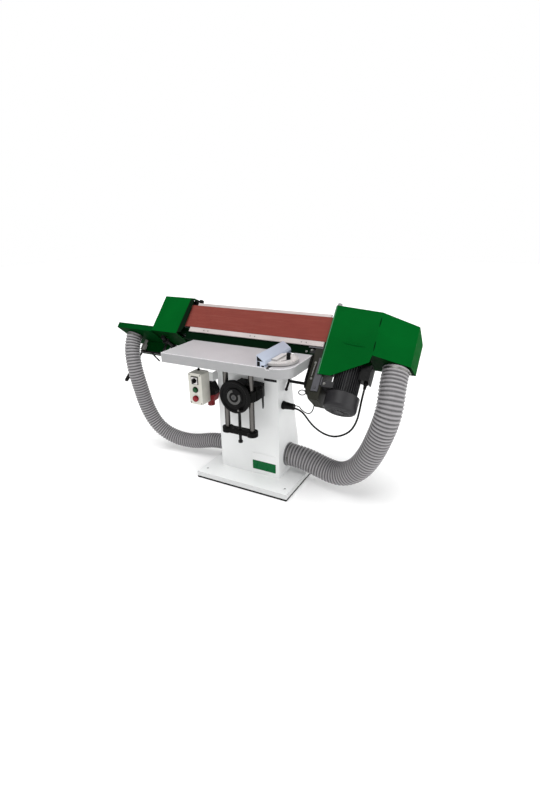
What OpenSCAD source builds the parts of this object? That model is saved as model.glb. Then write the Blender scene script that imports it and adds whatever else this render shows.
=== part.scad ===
// Edge sander on a sheet-steel column: tilting belt head, lifting table, two dust hoses.
// Millimetres, +Z up, origin on the floor under the middle of the base plate.
// The operator stands at -Y, the drive motor is at +X.

/* [Base] */
// Length of the base plate along X
base_l = 640; // [580:1:760]
// Depth of the base plate along Y
base_w = 460; // [440:1:560]
// Height of the base plate's folded edge
base_h = 32; // [24:1:60]
// Sheet thickness of the base plate
base_wall = 8; // [5:0.5:12]
// Thickness of the rubber floor strips
pad_h = 12; // [4:0.5:14]
// Width of the rubber floor strips
pad_w = 20; // [12:1:24]
// Distance of the floor bolt holes from the base plate's short sides
bolt_in_x = 40; // [40:1:60]
// Distance of the floor bolt holes from the base plate's long sides
bolt_in_y = 60; // [40:1:90]
// Diameter of the floor bolt holes
bolt_d = 14; // [9:0.5:18]

/* [Column] */
// Width of the column along X
col_w = 420; // [380:1:480]
// Middle of the column along X
col_x = -10; // [-30:1:20]
// Front face of the column along Y
col_front = -84; // [-100:1:-70]
// Depth of the column at its foot
col_depth = 274; // [260:1:290]
// Depth of the column at its top
col_top_depth = 184; // [170:1:220]
// Height of the column's top above the floor
col_top = 740; // [720:1:745]
// Sheet thickness of the column
col_wall = 5; // [3:0.5:8]
// Height of the upright part of the column's back
col_back_h = 172; // [168:1:240]
// Outer diameter of the dust outlet on the back
outlet_d = 150; // [100:1:155]
// Length of the dust outlet
outlet_l = 74; // [40:1:120]

/* [Table] */
// Length of the table along X
table_l = 800; // [700:1:960]
// Clearance between the table's right end and the drive bracket
table_end_gap = 12; // [8:1:40]
// Depth of the table along Y
table_w = 308; // [300:1:340]
// Height of the table's top above the floor
table_z = 865; // [850:1:885]
// Thickness of the table's plate
table_t = 16; // [14:0.5:24]
// Height of the table's edge
apron_h = 56; // [44:1:64]
// Thickness of the table's edge
apron_t = 14; // [8:0.5:20]
// Gap between the table and the upright belt
table_gap = 8.5; // [7:0.5:20]
// Radius of the rounded front corner
corner_r = 97; // [40:1:105]
// Travel of the table each way from rest
table_travel = 48; // [20:1:50]

/* [Table lift] */
// Middle of the lift along X
lift_x = -6; // [-16:1:4]
// Distance between the guide rods
rod_gap = 170; // [160:1:190]
// Diameter of the guide rods
rod_d = 32; // [24:0.5:36]
// Distance of the guide rods from the column's front
rod_out = 105; // [96:1:112]
// Height of the handwheel's middle above the floor
wheel_z = 612; // [606:1:620]
// Diameter of the handwheel
wheel_d = 204; // [160:1:240]
// Diameter of the lead screw
screw_d = 18; // [14:0.5:22]
// Thickness of the cross plate
cross_t = 30; // [20:1:36]
// Height of the cross plate's underside at rest
cross_z = 363; // [362:1:390]

/* [Head] */
// Tilt of the belt from upright
tilt = 40; // [38:0.5:42]
// Height of the tilt axis above the floor
pivot_z = 861; // [858:0.5:864]
// Width of the abrasive belt
belt_w = 150; // [140:1:156]
// Length of the abrasive belt
belt_len = 2740; // [2730:1:2750]
// Thickness of the abrasive belt
belt_t = 1.3; // [0.8:0.1:2]
// Diameter of both drums
drum_d = 132.8; // [130:0.1:134]
// Height of the belt's lower edge over the tilt axis
belt_rise = 38; // [37.5:0.5:46]
// Axis of the drive drum along X
drive_x = 608; // [602:1:612]
// Length of the platen
platen_l = 906; // [860:1:912]
// Height of the platen
platen_h = 198; // [180:1:204]
// Thickness of the head beam's plate
beam_t = 12; // [8:0.5:14]
// Sheet thickness of hoods, tray and guard
sheet = 3; // [2:0.5:4]
// Diameter of the pivot pins
pin_d = 20; // [14:0.5:22]
// Thickness of each trunnion stand
stand_t = 30; // [20:1:36]
// Distance of the trunnion stands from the column's middle
stand_dx = 140; // [110:1:150]

/* [Motor] */
// Diameter of the fan cover
fan_cover_d = 180; // [168:1:190]
// Diameter of the motor over its fins
motor_d = 146; // [138:1:148]
// Number of cooling fins
fin_count = 36; // [24:1:44]
// Diameter of the motor shaft
shaft_d = 28; // [22:0.5:32]

/* [Hoses] */
// Outer diameter of the left hose
left_hose_d = 100; // [90:1:106]
// Outer diameter of the right hose
right_hose_d = 140; // [126:1:144]
// Distance from rib to rib on the left hose
left_pitch = 16; // [15:0.5:24]
// Distance from rib to rib on the right hose
right_pitch = 19; // [17:0.5:26]
// Depth of the ribs
rib_depth = 5; // [3:0.5:6]
// Diameter of the motor cord
cord_d = 11; // [8:0.5:13]
// Diameter of the thin switch cord
thin_cord_d = 6; // [5:0.5:8]

/* [Gauge] */
// Distance of the gauge slot from the table's right end
slot_in = 116; // [100:1:140]
// Width of the gauge slot
slot_w = 19; // [16:0.5:22]
// Depth of the gauge slot
slot_h = 9.5; // [7:0.5:10]
// Radius of the gauge's protractor head
gauge_r = 104; // [80:1:108]
// Length of the fence
fence_l = 300; // [240:1:302]
// Height of the fence
fence_h = 60; // [46:1:70]
// Width of the fence
fence_w = 50; // [40:1:54]

/* [Switch box] */
// Width of the switch box
switch_w = 96; // [86:1:100]
// Height of the switch box
switch_h = 200; // [180:1:210]
// Depth of the switch box
switch_depth = 80; // [60:1:84]

/* [Fits] */
// Gap between pieces that move past each other
clear = 0.3; // [0.25:0.05:0.5]
// Radial gap of a running shaft
run_fit = 0.05; // [0.02:0.01:0.1]

/* [Hidden] */
$fn = 64;
eps = 1;

// Base and column
base_top = pad_h + base_h;
bolt_xs = [bolt_in_x - base_l/2, base_l/2 - bolt_in_x];
bolt_ys = [bolt_in_y - base_w/2, base_w/2 - bolt_in_y];
col_x0 = col_x - col_w/2;
col_x1 = col_x + col_w/2;
col_back = col_front + col_depth;
col_top_back = col_front + col_top_depth;
col_slope_z = 600;
outlet_z = base_top + outlet_d/2 + 6;
left_in_y = 40;
left_in_z = 142;
right_in_y = 45;
right_in_z = 160;
inlet_flange = 5;
inlet_l = 46;

// Head frame: x along the belt, v away from the operator, w up the belt, all from the tilt axis
drum_r = drum_d/2;
belt_in = drum_r + clear;
belt_out = belt_in + belt_t;
belt_y = -53;
pivot_y = belt_y + belt_out;
drum_span = (belt_len - 2*PI*(belt_in + belt_t/2))/2;
idler_x = drive_x - drum_span;
drum_h = belt_w + 4;
drum_w0 = belt_rise - 2;
beam_top = drum_w0 - 2;
beam_bottom = beam_top - beam_t;
beam_front = -57;
beam_back = 60;
beam_x0 = -716;
beam_x1 = 690;
flange_t = 8;
flange_low = -36;
platen_w0 = 8;
platen_t = 8;
platen_front = -belt_in + clear;
bracket_xs = [-330, 0, 330];

// Trunnions
boss_r = 21;
lug_t = 12;
lug_gap = 0.5;
stand_xs = [col_x - stand_dx, col_x + stand_dx];
stand_foot_h = 15;
stand_foot_half = 58;
neck_half = 20;
neck_drop = 88;
quad_t = 12;
quad_r = 66;
quad_slot_r = 50;
stud_r = 6;
quad_x = stand_xs[1] + stand_t/2 + lug_gap + lug_t + lug_gap;
lever_x = quad_x + quad_t + clear;
lever_end = col_x1 + 26;

// Hoods
hood_v = -78;
hood_back = 132;
rh_x0 = 464;
rh_fold = 727;
rh_corner = [912, 20];
rh_end = 926;
rh_bottom = -12;
rh_top = 260;
rh_fall = 0.084;
rh_back_fall = 0.44;
rh_floor_x = 704;
skirt_low = -154;
skirt_x = 538;
skirt_step = -54;
lh_top_x0 = -722;
lh_low_x0 = -736;
lh_top_x1 = -486;
lh_low_x1 = -533;
lh_bottom = -23;
lh_top = 231;
tray_x0 = -1030;
tray_top = 7;
tray_bottom = -30;
tray_back = 172;
left_port = [-938, 8];
right_port = [834, 60];
guard_v = 84;

// Tension and tracking
car_t = 19.5;
car_half = 38;
car_x0 = -712;
car_x1 = -440;
car_w0 = beam_bottom - clear - car_t;
guide_w = 8;
guide_lip = 8;
idler_r = 15;
slack_travel = 20;
crank_x = -690;
crank_w = -36;
crank_pin_r = 9;
crank_pin_w = 11;
crank_shaft_r = 10;
lever_v = 190;
elbow_x = -995;
elbow_w = -80;
grip_x = -1036;
grip_w = -310;
bar_x0 = -912;
bar_w0 = -122;
apron_v = 112;
arm_x0 = -585;
arm_x1 = -430;
arm_v0 = -52;
arm_v1 = 20;
arm_top = 214;
arm_plate_t = 10;
knob_xs = [-500, -463];
knob_v = -36;

// Motor
motor_top = -46;
motor_low = -238;
fan_low = -324;
shield_t = 16;
foot_x = 500;
bracket_x = foot_x - 88;
motor_r = motor_d/2;
barrel_r = motor_r - 14;
term_x0 = drive_x + motor_r + 1;
term_w0 = -145;
term_w1 = -62;
term_d = 54;
term_v = -18;
gland_v = -20;
gland_r = 12;
gland_l = 36;
rail_v = -71.5;

// Table and lift
table_back = belt_y - table_gap;
table_front = table_back - table_w;
table_x1 = bracket_x - table_end_gap;
table_x0 = table_x1 - table_l;
slot_x = table_x1 - slot_in;
table_under = table_z - table_t;
rod_y = col_front - rod_out;
rod_xs = [lift_x - rod_gap/2, lift_x + rod_gap/2];
rod_r = rod_d/2;
house_x0 = rod_xs[0] - rod_r - 14;
house_x1 = rod_xs[1] + rod_r + 14;
house_front = rod_y - rod_r - 12;
house_z0 = 545;
house_z1 = 668;
screw_r = screw_d/2;
screw_low = 303;
collar_h = 11;
bevel_r = 17;
bevel_in = 9;
cavity_r = 21;
wheel_t = 22;
wheel_y = house_front - 14;
saddle_t = 30;
lock_x = house_x1 + clear;
lock_z = 656;
lock_y = rod_y + 52;
lock_stud_r = 5;

// Switch box
switch_front = -214;
switch_x1 = -248;
switch_x0 = switch_x1 - switch_w;
switch_z0 = 507;
switch_back = switch_front + switch_depth;
button_x = (switch_x0 + switch_x1)/2;
button_r = 14;
button_travel = 4;
green_z = switch_z0 + 0.48*switch_h;
red_z = switch_z0 + 0.2*switch_h;
select_z = switch_z0 + 0.78*switch_h;
select_r = 15;
plate_t = 6;

// Gauge
gauge_y = -238;
gauge_t = 13;
arm_h = 4;
gauge_z = table_z + arm_h + 2*clear;
slot_fit = 0.2;
fence_far = -66;
fence_gap = 12;
fence_x1 = slot_x - fence_gap;
clamp_r = 56;

// Hose and cord routes
left_in_end = [col_x0 - inlet_flange - clear, left_in_y, left_in_z];
right_in_end = [col_x1 + inlet_flange + clear, right_in_y, right_in_z];
left_start = head_pt([left_port[0], left_port[1], tray_bottom - clear]);
right_start = head_pt([right_port[0], right_port[1], rh_bottom - clear]);
port_dir = head_dir([0, 0, -1]);
left_route = [left_start, left_start + 100*port_dir, [-922, -78, 630], [-910, -60, 490],
    [-880, -40, 316], [-806, -10, 172], [-680, 20, 97], [-510, 35, 96],
    left_in_end - [104, 0, 0], left_in_end];
right_route = [right_start, right_start + 140*port_dir, [848, -72, 600], [814, -70, 480],
    [760, -50, 322], [678, -20, 196], [570, 8, 128], [450, 32, 124],
    right_in_end + [128, 0, 0], right_in_end];
gland_end = head_pt([term_x0 + 34, gland_v, term_w0 - gland_l]);
connector_y = -26;
connector_z = 522;
connector_l = 74;
connector_end = [col_x1 + connector_l, connector_y, connector_z];
cord_route = [gland_end, gland_end + 40*port_dir, [708, -158, 620], [692, -140, 560],
    [654, -114, 484], [600, -98, 437], [540, -84, 410], [470, -70, 414], [400, -56, 446],
    connector_end + [50, 0, -16], connector_end + [22, 0, -9], connector_end + [0, 0, -9]];
switch_end = head_pt([452, 34, -296.3]);
thin_route = [switch_end, switch_end + 20*port_dir, [428, -132, 572], [384, -92, 536],
    [336, -54, 520], connector_end + [24, 0, 10], connector_end + [0, 0, 10]];

function unit(v) = v/norm(v);
function head_dir(d) = [d[0], d[1]*cos(tilt) + d[2]*sin(tilt), d[2]*cos(tilt) - d[1]*sin(tilt)];
function head_pt(p) = [0, pivot_y, pivot_z] + head_dir(p);

// Corner points of a polygon drawn anticlockwise, moved inwards by d
function inset(p, d) = let (n = len(p)) [for (i = [0:n - 1])
    let (e = unit(p[i] - p[(i + n - 1)%n]), f = unit(p[(i + 1)%n] - p[i]))
    let (a = [-e[1], e[0]], b = [-f[1], f[0]])
    p[i] + d*(a + b)/(1 + a*b)];

// Smooth path through the route: straight first and last runs, Hermite curves between
function tangent(r, i) = let (n = len(r))
    i == 1 ? unit(r[1] - r[0])*norm(r[2] - r[1])
    : i == n - 2 ? unit(r[n - 1] - r[n - 2])*norm(r[n - 2] - r[n - 3])
    : (r[i + 1] - r[i - 1])/2;
function hermite(a, b, ta, tb, t) = (2*t*t*t - 3*t*t + 1)*a + (t*t*t - 2*t*t + t)*ta
    + (3*t*t - 2*t*t*t)*b + (t*t*t - t*t)*tb;
steps = 10;
function smooth(r) = let (n = len(r)) concat(
    [for (k = [0:steps - 1]) r[0] + (r[1] - r[0])*k/steps],
    [for (i = [1:n - 3], k = [0:steps - 1])
        hermite(r[i], r[i + 1], tangent(r, i), tangent(r, i + 1), k/steps)],
    [for (k = [0:steps]) r[n - 2] + (r[n - 1] - r[n - 2])*k/steps]);
function lengths(p) = [for (i = 0, s = 0; i < len(p);
    s = s + (i + 1 < len(p) ? norm(p[i + 1] - p[i]) : 0), i = i + 1) s];
function at(p, l, s) = [for (c = [0:2]) lookup(s, [for (i = [0:len(p) - 1]) [l[i], p[i][c]]])];
function ring(p, l, s, r, sides) = let (total = l[len(l) - 1], h = 2)
    let (t = unit(at(p, l, min(s + h, total)) - at(p, l, max(s - h, 0))))
    let (a = unit([0, 1, 0] - t[1]*t), b = cross(t, a))
    [for (j = [0:sides - 1]) at(p, l, s) + r*(cos(360*j/sides)*a + sin(360*j/sides)*b)];
function skin(first, rings, n, flip) = [for (i = [0:rings - 2], j = [0:n - 1])
    let (a = first + i*n + j, b = first + i*n + (j + 1)%n)
    each flip ? [[a, b + n, a + n], [a, b, b + n]] : [[a, a + n, b + n], [a, b + n, b]]];
function rim(outer, inner, n, flip) = [for (j = [0:n - 1])
    let (a = outer + j, b = outer + (j + 1)%n, c = inner + (j + 1)%n, d = inner + j)
    each flip ? [[a, c, b], [a, d, c]] : [[a, b, c], [a, c, d]]];

// Shape helpers

module head() {
    translate([0, pivot_y, pivot_z]) rotate([-tilt, 0, 0]) children();
}

module along_x(x0, x1) {
    translate([x0, 0, 0]) rotate([90, 0, 90]) linear_extrude(x1 - x0) children();
}

module along_y(y0, y1) {
    translate([0, y1, 0]) rotate([90, 0, 0]) linear_extrude(y1 - y0) children();
}

module block(low, high) {
    translate(low) cube(high - low);
}

module rod_x(x0, x1, y, z, r) {
    translate([x0, y, z]) rotate([0, 90, 0]) cylinder(h = x1 - x0, r = r);
}

module rod_y(y0, y1, x, z, r) {
    translate([x, y1, z]) rotate([90, 0, 0]) cylinder(h = y1 - y0, r = r);
}

module rod_z(z0, z1, x, y, r) {
    translate([x, y, z0]) cylinder(h = z1 - z0, r = r);
}

// Rod between two points
module rod(a, b, r) {
    d = b - a;
    translate(a) rotate([0, acos(d[2]/norm(d)), atan2(d[1], d[0])]) cylinder(h = norm(d), r = r);
}

module rounded(w, h, r) {
    translate([r, 0]) square([w - 2*r, h]);
    translate([0, r]) square([w, h - 2*r]);
    for (x = [r, w - r], y = [r, h - r]) translate([x, y]) circle(r);
}

// Ribbed tube with its bore: two rings to a rib outside, one bore ring to two ribs
module ribbed_hose(route, d, pitch) {
    sides = 8;
    path = smooth(route);
    len_at = lengths(path);
    total = len_at[len(len_at) - 1];
    ribs = 2*round(total/pitch/2);
    outer = [for (i = [0:2*ribs]) ring(path, len_at, total*i/(2*ribs),
        d/2 - (i%2 == 0 ? rib_depth : 0), sides)];
    inner = [for (i = [0:4:2*ribs]) ring(path, len_at, total*i/(2*ribs), hose_bore(d), sides)];
    n_out = len(outer);
    n_in = len(inner);
    start_in = n_out*sides;
    polyhedron(points = [for (r = concat(outer, inner)) each r],
        faces = concat(skin(0, n_out, sides, false), skin(start_in, n_in, sides, true),
            rim(0, start_in, sides, false),
            rim((n_out - 1)*sides, start_in + (n_in - 1)*sides, sides, true)));
}

function hose_bore(d) = d/2 - rib_depth - 3;
// Largest round spigot that slips into the eight-sided bore
function spigot_r(d) = hose_bore(d)*cos(22.5) - clear;

module plain_cord(route, d, sides, spacing) {
    path = smooth(route);
    len_at = lengths(path);
    total = len_at[len(len_at) - 1];
    n = round(total/spacing);
    rings = [for (i = [0:n]) ring(path, len_at, total*i/n, d/2, sides)];
    last = n*sides;
    polyhedron(points = [for (r = rings) each r],
        faces = concat(skin(0, n + 1, sides, false),
            [for (j = [1:sides - 2]) [0, j, j + 1]],
            [for (j = [1:sides - 2]) [last, last + j + 1, last + j]]));
}

// Base and column

module base_plate() {
    color("white") difference() {
        union() {
            difference() {
                block([-base_l/2, -base_w/2, pad_h], [base_l/2, base_w/2, base_top]);
                block([-base_l/2 + base_wall, -base_w/2 + base_wall, pad_h - eps],
                    [base_l/2 - base_wall, base_w/2 - base_wall, base_top - base_wall]);
            }
            for (x = bolt_xs, y = bolt_ys) rod_z(0, base_top - eps, x, y, bolt_d/2 + 5.5);
        }
        for (x = bolt_xs, y = bolt_ys) rod_z(-eps, base_top + eps, x, y, bolt_d/2);
    }
}

module floor_pads() {
    color([0.05, 0.05, 0.05]) {
        for (s = [-1, 1]) {
            translate([-base_l/2, s*(base_w - pad_w)/2 - pad_w/2, 0]) cube([base_l, pad_w, pad_h]);
            translate([s*(base_l - pad_w)/2 - pad_w/2, -base_w/2 + pad_w + eps, 0])
                cube([pad_w, base_w - 2*pad_w - 2*eps, pad_h]);
        }
    }
}

function col_profile() = [[col_front, base_top], [col_back, base_top],
    [col_back, base_top + col_back_h], [col_top_back, col_slope_z], [col_top_back, col_top],
    [col_front, col_top]];

module column() {
    color("white") difference() {
        along_x(col_x0, col_x1) polygon(col_profile());
        along_x(col_x0 + col_wall, col_x1 - col_wall) polygon(inset(col_profile(), col_wall));
        rod_x(col_x0 - eps, col_x0 + 2*col_wall, left_in_y, left_in_z, spigot_r(left_hose_d) - sheet);
        rod_x(col_x1 - 2*col_wall, col_x1 + eps, right_in_y, right_in_z,
            spigot_r(right_hose_d) - sheet);
        rod_y(col_back - 2*col_wall, col_back + eps, col_x, outlet_z, outlet_d/2 - sheet);
    }
}

module inlet(x, dir, y, z, d) {
    r = spigot_r(d);
    translate([x, y, z]) rotate([0, 90*dir, 0]) difference() {
        union() {
            cylinder(h = inlet_flange, r = d/2 + 6);
            cylinder(h = inlet_l, r = r);
        }
        translate([0, 0, -eps]) cylinder(h = inlet_l + 2*eps, r = r - sheet);
    }
    translate([x, y, z]) rotate([0, 90*dir, 0]) block([-4, -r + sheet/2, 0], [4, r - sheet/2, 10]);
}

// Each inlet has a guard bar across its bore
module column_inlets() {
    color("dimgray") {
        inlet(col_x0, -1, left_in_y, left_in_z, left_hose_d);
        inlet(col_x1, 1, right_in_y, right_in_z, right_hose_d);
    }
}

module rear_outlet() {
    color("dimgray") difference() {
        union() {
            rod_y(col_back, col_back + inlet_flange, col_x, outlet_z, outlet_d/2 + 5);
            rod_y(col_back, col_back + outlet_l, col_x, outlet_z, outlet_d/2);
        }
        rod_y(col_back - eps, col_back + outlet_l + eps, col_x, outlet_z, outlet_d/2 - sheet);
    }
}

// Trunnions

module stand(x) {
    difference() {
        along_x(x - stand_t/2, x + stand_t/2) {
            translate([pivot_y, pivot_z]) circle(boss_r);
            polygon([[pivot_y - stand_foot_half, col_top], [pivot_y + stand_foot_half, col_top],
                [pivot_y + stand_foot_half, col_top + stand_foot_h],
                [pivot_y + neck_half, pivot_z - neck_drop], [pivot_y + neck_half, pivot_z],
                [pivot_y - neck_half, pivot_z], [pivot_y - neck_half, pivot_z - neck_drop],
                [pivot_y - stand_foot_half, col_top + stand_foot_h]]);
        }
        rod_x(x - stand_t, x + stand_t, pivot_y, pivot_z, pin_d/2 + run_fit);
    }
}

module trunnion_stands() {
    color([0.12, 0.12, 0.12]) {
        for (x = stand_xs) stand(x);
        rod_x(stand_xs[1] + stand_t/2, lever_end + 4, pivot_y, pivot_z - quad_slot_r, stud_r);
    }
}

module lug(x) {
    along_x(x - lug_t/2, x + lug_t/2) {
        circle(neck_half);
        translate([-neck_half, 0]) square([2*neck_half, beam_bottom]);
    }
}

module trunnion_lugs() {
    off = stand_t/2 + lug_gap + lug_t/2;
    color([0.12, 0.12, 0.12]) head() for (x = stand_xs) {
        difference() {
            for (s = [-1, 1]) lug(x + s*off);
            rod_x(x - 2*stand_t, x + 2*stand_t, 0, 0, pin_d/2);
        }
        rod_x(x - off - lug_t/2, x + off + lug_t/2, 0, 0, pin_d/2);
    }
}

// Slotted sector that turns with the head past the clamp stud
module tilt_quadrant() {
    slot_half = stud_r + clear;
    color([0.12, 0.12, 0.12]) head() difference() {
        along_x(quad_x, quad_x + quad_t) difference() {
            union() {
                intersection() {
                    circle(quad_r);
                    polygon([[-24, beam_bottom], [-24, -100], [100, -100], [100, 18], [24, 18]]);
                }
                translate([-24, 0]) square([44, beam_bottom]);
            }
            difference() {
                circle(quad_slot_r + slot_half);
                circle(quad_slot_r - slot_half);
                translate([-100, -100]) square([100, 200]);
                translate([-100, 0]) square([200, 100]);
            }
            translate([0, -quad_slot_r]) circle(slot_half);
            translate([quad_slot_r, 0]) circle(slot_half);
        }
        rod_x(quad_x - eps, quad_x + quad_t + eps, 0, 0, pin_d/2 + clear);
    }
}

module tilt_lever() {
    y = pivot_y;
    z = pivot_z - quad_slot_r;
    x = lever_end - 9;
    foot = [x, y + 8, z - 150];
    tip = [x, y - 30, z - 190];
    side = [x + 106, y, z - 148];
    color([0.08, 0.08, 0.08]) {
        difference() {
            rod_x(lever_x, lever_end, y, z, stud_r + 7);
            rod_x(lever_x - eps, lever_end + eps, y, z, stud_r + run_fit);
        }
        difference() {
            rod([x, y, z], foot, 8);
            rod_x(lever_x - eps, lever_end + eps, y, z, stud_r + 6);
        }
        rod(foot, tip, 7);
        translate(tip) sphere(10, $fn = 32);
        rod(foot, side, 9);
        translate(side) sphere(12, $fn = 32);
        translate(foot) sphere(9, $fn = 32);
    }
}

// Belt head

module guide(s) {
    along_x(car_x0 + 40, car_x1 + 40) polygon([
        [s*(car_half + clear), beam_bottom], [s*(car_half + clear + guide_w), beam_bottom],
        [s*(car_half + clear + guide_w), car_w0 - clear - guide_lip],
        [s*(car_half - 6), car_w0 - clear - guide_lip], [s*(car_half - 6), car_w0 - clear],
        [s*(car_half + clear), car_w0 - clear]]);
}

module platen_bracket(x) {
    back = platen_front + platen_t;
    block([x - 25, back, beam_top], [x + 25, back + 8, beam_top + 120]);
    block([x - 25, back, beam_top], [x + 25, back + 58, beam_top + 8]);
    for (e = [x - 25, x + 19]) along_x(e, e + 6)
        polygon([[back + 4, beam_top + 4], [back + 50, beam_top + 4], [back + 4, beam_top + 90]]);
}

// Beam plate with a front flange down and a rear flange up, slotted for the idler shaft
module head_beam() {
    color("darkgreen") head() {
        difference() {
            union() {
                block([beam_x0, beam_front, beam_bottom], [beam_x1, beam_back, beam_top]);
                block([-470, beam_front, flange_low], [376, beam_front + flange_t, beam_top]);
                block([-430, beam_back - 2*flange_t, beam_bottom], [430, beam_back - flange_t,
                    beam_top + 50]);
            }
            rod_z(beam_bottom - eps, beam_top + eps, drive_x, 0, shaft_d/2 + 14);
            hull() for (x = [idler_x, idler_x + slack_travel])
                rod_z(beam_bottom - eps, beam_top + eps, x, 0, idler_r + 2, $fn = 32);
        }
        for (s = [-1, 1]) guide(s);
        for (x = bracket_xs) platen_bracket(x);
    }
}

module platen() {
    color("gainsboro") head() difference() {
        block([-platen_l/2 - 4, platen_front, platen_w0],
            [platen_l/2 - 4, platen_front + platen_t, platen_w0 + platen_h]);
        for (s = [-1, 1]) translate([-4 + s*platen_l/2, platen_front, platen_w0 - eps])
            rotate([0, 0, 45]) translate([-2, -2, 0]) cube([4, 4, platen_h + 2*eps]);
    }
}

module belt_outline(r) {
    translate([idler_x, -r]) square([drum_span, 2*r]);
    for (x = [idler_x, drive_x]) translate([x, 0]) circle(r, $fn = 96);
}

module sanding_belt() {
    color([0.55, 0.24, 0.22]) head() translate([0, 0, belt_rise]) linear_extrude(belt_w) difference() {
        belt_outline(belt_out);
        belt_outline(belt_in);
    }
}

module rear_guard() {
    color("darkgreen") head() {
        block([-478, beam_back - flange_t + clear, beam_top], [456, guard_v + sheet, beam_top + sheet]);
        block([-478, guard_v, beam_top], [456, guard_v + sheet, platen_w0 + platen_h]);
    }
}

// Dust hoods

function rh_plan() = [[rh_x0, hood_v], [rh_fold, hood_v], rh_corner, [rh_end, hood_back], [rh_x0,
    hood_back]];

// Right hood's body up to its roof: one fall to the right, another to the back
module under_roof(drop) {
    difference() {
        children();
        translate([rh_x0, 0, rh_top - drop]) rotate([0, atan(rh_fall), 0])
            translate([-100, -300, 0]) cube([800, 800, 400]);
        translate([rh_x0, rh_corner[1], rh_top - drop]) rotate([0, atan(rh_fall), 0])
            rotate([-atan(rh_back_fall), 0, 0]) translate([-100, -20, 0]) cube([800, 800, 400]);
    }
}

module right_hood() {
    span = rh_top - rh_bottom;
    color("darkgreen") head() {
        difference() {
            under_roof(0) translate([0, 0, rh_bottom]) linear_extrude(span) polygon(rh_plan());
            under_roof(sheet) translate([0, 0, rh_bottom + sheet]) linear_extrude(span) {
                polygon(inset(rh_plan(), sheet));
                translate([rh_x0 - eps, hood_v + sheet]) square([30, hood_back - hood_v - 2*sheet]);
            }
            block([rh_x0 - eps, hood_v + sheet, rh_bottom - eps],
                [rh_floor_x, hood_back - sheet, rh_bottom + sheet + eps]);
            rod_z(rh_bottom - eps, rh_bottom + 2*sheet, right_port[0], right_port[1],
                spigot_r(right_hose_d));
            rod_z(rh_top - 12, rh_top + eps, rh_x0 + 8, hood_v + 24, 3 + run_fit);
        }
        along_y(hood_v, hood_v + sheet) polygon([[rh_x0, skirt_low], [skirt_x, skirt_low],
            [rh_fold - 8, skirt_step], [rh_fold, rh_bottom + eps], [rh_x0, rh_bottom + eps]]);
        rod_z(skirt_low, rh_top - 4, rh_x0, hood_v + sheet, sheet);
        for (x = [rh_x0 + 20, rh_fold - 70])
            block([x, hood_v + sheet - eps, beam_bottom], [x + 30, beam_front - clear, beam_top - eps]);
    }
}

module left_hood() {
    outline = [[lh_low_x0, lh_bottom], [lh_low_x1, lh_bottom], [lh_top_x1, lh_top], [lh_top_x0,
        lh_top]];
    open = [0, 40, 40, 0];
    inner = inset(outline, sheet);
    color("darkgreen") head() difference() {
        union() {
            difference() {
                along_y(hood_v, hood_back) polygon(outline);
                along_y(hood_v + sheet, hood_back - sheet)
                    polygon([for (i = [0:3]) inner[i] + [open[i], 0]]);
            }
            for (x = [lh_low_x0 + 30, lh_low_x1 - 40])
                block([x, hood_v + sheet - eps, beam_bottom], [x + 30, beam_front - clear,
                    beam_top - eps]);
        }
        block([knob_xs[0] - 20, knob_v - 20, lh_top - 2*sheet], [lh_top_x1 + eps, knob_v + 20,
            lh_top + eps]);
        block([crank_x - 20, -16, lh_bottom - eps], [crank_x + slack_travel + 20, 16,
            lh_bottom + 2*sheet]);
        block([lh_low_x0 - eps, hood_v + 20, lh_bottom + 2*sheet], [lh_low_x0 + 3*sheet,
            hood_back - 12, tray_top - 2*sheet]);
    }
}

// Flat dust duct beside the left hood, open towards it, with a plate down behind the tension spring
module left_tray() {
    x1 = lh_low_x0 - clear;
    color("darkgreen") head() difference() {
        block([tray_x0, hood_v, tray_bottom], [x1, tray_back, tray_top]);
        block([tray_x0 + sheet, hood_v + sheet, tray_bottom + sheet], [x1 + eps,
            tray_back - sheet, tray_top - sheet]);
        rod_z(tray_bottom - eps, tray_bottom + 2*sheet, left_port[0], left_port[1],
            spigot_r(left_hose_d));
    }
    color("darkgreen") head() block([bar_x0, apron_v, bar_w0], [x1 - eps, apron_v + sheet,
        tray_bottom + eps]);
}

module spigot(p, w, d) {
    r = spigot_r(d);
    translate([p[0], p[1], 0]) difference() {
        union() {
            translate([0, 0, w - inlet_l]) cylinder(h = inlet_l + sheet, r = r - run_fit);
            translate([0, 0, w + sheet]) cylinder(h = sheet, r = r + 5);
        }
        translate([0, 0, w - inlet_l - eps]) cylinder(h = inlet_l + 4*sheet, r = r - sheet);
    }
}

module hose_spigots() {
    color("dimgray") head() {
        spigot(left_port, tray_bottom, left_hose_d);
        spigot(right_port, rh_bottom, right_hose_d);
    }
}

// Motor and drive

// Toothed outline of the barrel: each fin is a narrow tooth on the round core
function fin_outline() = let (step = 360/fin_count) [for (i = [0:fin_count - 1], k = [0:3])
    let (a = step*(i + 0.5) + [-1.7, -1.2, 1.2, 1.7][k], r = [barrel_r, motor_r, motor_r, barrel_r][k])
    r*[cos(a), sin(a)]];

module motor_body() {
    color([0.16, 0.16, 0.17]) head() translate([drive_x, 0, 0]) difference() {
        union() {
            rod_z(motor_low, motor_low + 9, 0, 0, barrel_r - 2);
            rod_z(motor_top - shield_t, motor_top, 0, 0, motor_r - 4);
            translate([0, 0, motor_low + 8]) linear_extrude(motor_top - shield_t - motor_low - 7)
                polygon(fin_outline());
            for (w = [motor_low + 20, motor_top - 60])
                block([foot_x - drive_x, -70, w], [-barrel_r + 16, 70, w + 34]);
            block([barrel_r - 8, -26, term_w0 + 10], [term_x0 - drive_x, 26, term_w1 - 10]);
        }
        rod_z(motor_low - eps, motor_top + eps, 0, 0, shaft_d/2 + run_fit);
    }
}

function fan_bowl(r, low) = [[0, low], [r - 26, low], [r - 12, low + 5], [r - 3, low + 14], [r,
    low + 27]];

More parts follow.
